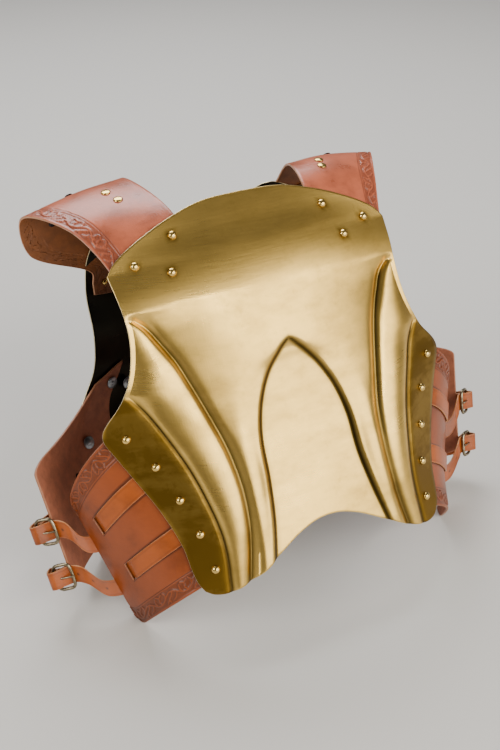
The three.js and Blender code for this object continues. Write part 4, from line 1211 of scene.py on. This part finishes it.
def buckle_shapes(frame_at):
    """The ring, and the prong with its eye round the bar."""
    middle, turn, normal, back = frame_at(0, 0, 1)

    def in_plane(u, n, w=0.0):
        return middle + back * u + normal * n + turn * w

    turns = np.linspace(0, 2 * math.pi, RING_SEGMENTS, endpoint=False)
    ring = np.array([
        in_plane(
            BUCKLE_HALF_LENGTH * rounded_square(math.cos(a)), 0,
            BUCKLE_HALF_WIDTH * rounded_square(math.sin(a)),
        )
        for a in turns
    ])
    eye = np.array([
        in_plane(BUCKLE_HALF_LENGTH + PRONG_EYE * math.cos(a), PRONG_EYE * math.sin(a))
        for a in turns[::2]
    ])
    pin = catmull([in_plane(u, n) for u, n in PRONG_LINE], np.linspace(0, 1, PIN_SEGMENTS))
    prong = merged(tube(eye, PRONG_WIRE, EYE_SIDES, True), tube(pin, PRONG_WIRE, PIN_SIDES, False))
    return tube(ring, BUCKLE_WIRE, RING_SIDES, True), prong


for belt in BELTS:
    frame_at = buckle_frame(belt)
    belt_leather = belt_shape(belt, frame_at)
    chape_leather = chape_shape(frame_at)
    ring_wire, prong_wire = buckle_shapes(frame_at)
    for tag, mirror in SIDES:
        ending = f"{belt['name']}_{tag}"
        for node, (vertices, faces, values) in (("belt", belt_leather), ("chape", chape_leather)):
            name = f"{node}_{ending}"
            make_object(f"{name}_leather", vertices, faces, "belt_leather", [name], values, mirror)
        for node, (vertices, faces) in (("buckle", ring_wire), ("prong", prong_wire)):
            name = f"{node}_{ending}"
            make_object(f"{name}_wire", vertices, faces, "aged_brass", [name], None, mirror)


# Rivets

DOME_STEPS = 8
STUD_RISE = 1.6
TIP = 0.01


def dome(radius, base, rise):
    angles = [k * math.pi / 2 / DOME_STEPS for k in range(DOME_STEPS)]
    return [*[(radius * math.cos(a), base + rise * math.sin(a)) for a in angles], (TIP, base + rise)]


# Ends of the shanks, as radius and height: peened over, and over a washer
PEENED = [(TIP, -1.3), (1.6, -1.25), (3.2, -0.9), (3.9, -0.4), (4, 0)]
WASHERED = [
    (TIP, -2.4), (1.4, -2.3), (2.4, -1.9), (2.6, -1.2), (3.4, -1.05),
    (WASHER - 0.5, -1.2), (WASHER, -0.7), (WASHER, 0),
]


def rivet_profile(stack, head, foot):
    below = -stack - GAP
    ends = [(radius, below + depth) for radius, depth in foot]
    return [*ends, (RIVET_SHANK, below), (RIVET_SHANK, GAP), *head]


def fasten(node, spot, stack, head, foot, slot, mirror):
    position, outward, sideways = spot[:3]
    vertices, faces = turned(rivet_profile(stack, head, foot), TURNED_SIDES)
    vertices = placed(vertices, position, outward, sideways)
    make_object(f"{node}_metal", vertices, faces, slot, [node], None, mirror)


def on_strap(tag):
    def spot(along, across):
        return surface_spot(lambda a, b: strap_line(tag, b, [a])[0], along, across)

    return spot


layered = PLATE + SEAT + LEATHER + 2 * GAP
through_panel = PANEL_SEAT + LEATHER + GAP
through_strap = LEATHER + 3 * GAP
domed = dome(RIVET_HEAD, GAP, RIVET_RISE)
flat_head = dome(STUD_HEAD, 2 * GAP, STUD_RISE)
for tag, mirror in SIDES:
    for node, places, spot_at, stack, head, foot, slot in (
        ("shoulder_rivet", SHOULDER_RIVETS, on_breast, layered, domed, PEENED, "brass_rivet"),
        ("side_rivet", SIDE_RIVETS, on_breast, through_panel, domed, PEENED, "brass_rivet"),
        ("back_rivet", BACK_RIVETS, on_back, layered, domed, PEENED, "brass_rivet"),
        ("flap_rivet", FLAP_RIVETS, on_back, layered + SEAT, domed, WASHERED, "steel_rivet"),
        ("crest_rivet", CREST_RIVETS, on_strap(tag), through_strap, flat_head, PEENED, "brass_rivet"),
        ("strap_stud", STRAP_STUDS, on_strap(tag), through_strap, flat_head, PEENED, "blackened_stud"),
    ):
        for i, place in enumerate(places):
            fasten(f"{node}_{i + 1}_{tag}", spot_at(*place), stack, head, foot, slot, mirror)


# Studio

FLOOR_HALF = 8.0
FLOOR_COLOUR = (0.62, 0.6, 0.57, 1)
FLOOR_ROUGHNESS = 0.7
WORLD_COLOUR = (0.5, 0.48, 0.45, 1)
WORLD_STRENGTH = 0.3
AIM_HEIGHT = 0.2
# Soft boxes: name, azimuth, elevation, distance, width, height, power, colour
LIGHTS = [
    ("front_box", 22, 19, 3.2, 4.6, 1.7, 105, (1.0, 0.96, 0.88)),
    ("high_strip", 24, 40, 3.2, 2.6, 0.34, 42, (1.0, 0.97, 0.9)),
    ("left_box", -80, 32, 3.0, 1.2, 1.6, 45, (1.0, 0.97, 0.92)),
    ("rear_box", 170, 52, 3.2, 2.4, 1.6, 110, (0.95, 0.97, 1.0)),
]
# The photograph's camera, in the torso's millimetres before the row's shift, and in degrees
CAMERA_PLACE = (-492.3, -954.1, 539.1)
CAMERA_DOWN = 33.36
CAMERA_TURN = -26.70


def studio_floor():
    mesh = bpy.data.meshes.new("floor")
    corners = [(x * FLOOR_HALF, y * FLOOR_HALF, 0) for x, y in ((-1, -1), (1, -1), (1, 1), (-1, 1))]
    mesh.from_pydata(corners, [], [(0, 1, 2, 3)])
    floor = bpy.data.objects.new("floor", mesh)
    bpy.context.collection.objects.link(floor)
    material, _, shader = new_material("floor")
    shader.inputs["Base Color"].default_value = FLOOR_COLOUR
    shader.inputs["Roughness"].default_value = FLOOR_ROUGHNESS
    mesh.materials.append(material)


def soft_light(name, azimuth, elevation, distance, width, height, power, colour):
    """A soft box that faces the torso; azimuth 0 is in front of the chest and 90 at the image's right."""
    light = bpy.data.lights.new(name, "AREA")
    light.shape = "RECTANGLE"
    light.size = width
    light.size_y = height
    light.energy = power
    light.color = colour
    a, e = math.radians(azimuth), math.radians(elevation)
    place = Vector((math.sin(a) * math.cos(e), -math.cos(a) * math.cos(e), math.sin(e))) * distance
    lamp = bpy.data.objects.new(name, light)
    lamp.location = place + Vector((0, 0, AIM_HEIGHT))
    lamp.rotation_euler = place.to_track_quat("Z", "Y").to_euler()
    lamp.visible_camera = False
    bpy.context.collection.objects.link(lamp)


studio_floor()
for light in LIGHTS:
    soft_light(*light)

world = bpy.data.worlds.new("studio")
bpy.context.scene.world = world
world.use_nodes = True
backdrop = world.node_tree.nodes["Background"]
backdrop.inputs["Color"].default_value = WORLD_COLOUR
backdrop.inputs["Strength"].default_value = WORLD_STRENGTH

# Camera, at the photograph's angle

camera = bpy.data.objects.new("camera", bpy.data.cameras.new("camera"))
bpy.context.collection.objects.link(camera)
camera.data.lens = 50
camera.data.sensor_width = 36
camera.location = (Vector(CAMERA_PLACE) + Vector((0, CENTRING, FLOOR_DROP))) * MM
camera.rotation_euler = (math.radians(90 - CAMERA_DOWN), 0, math.radians(CAMERA_TURN))
bpy.context.scene.camera = camera
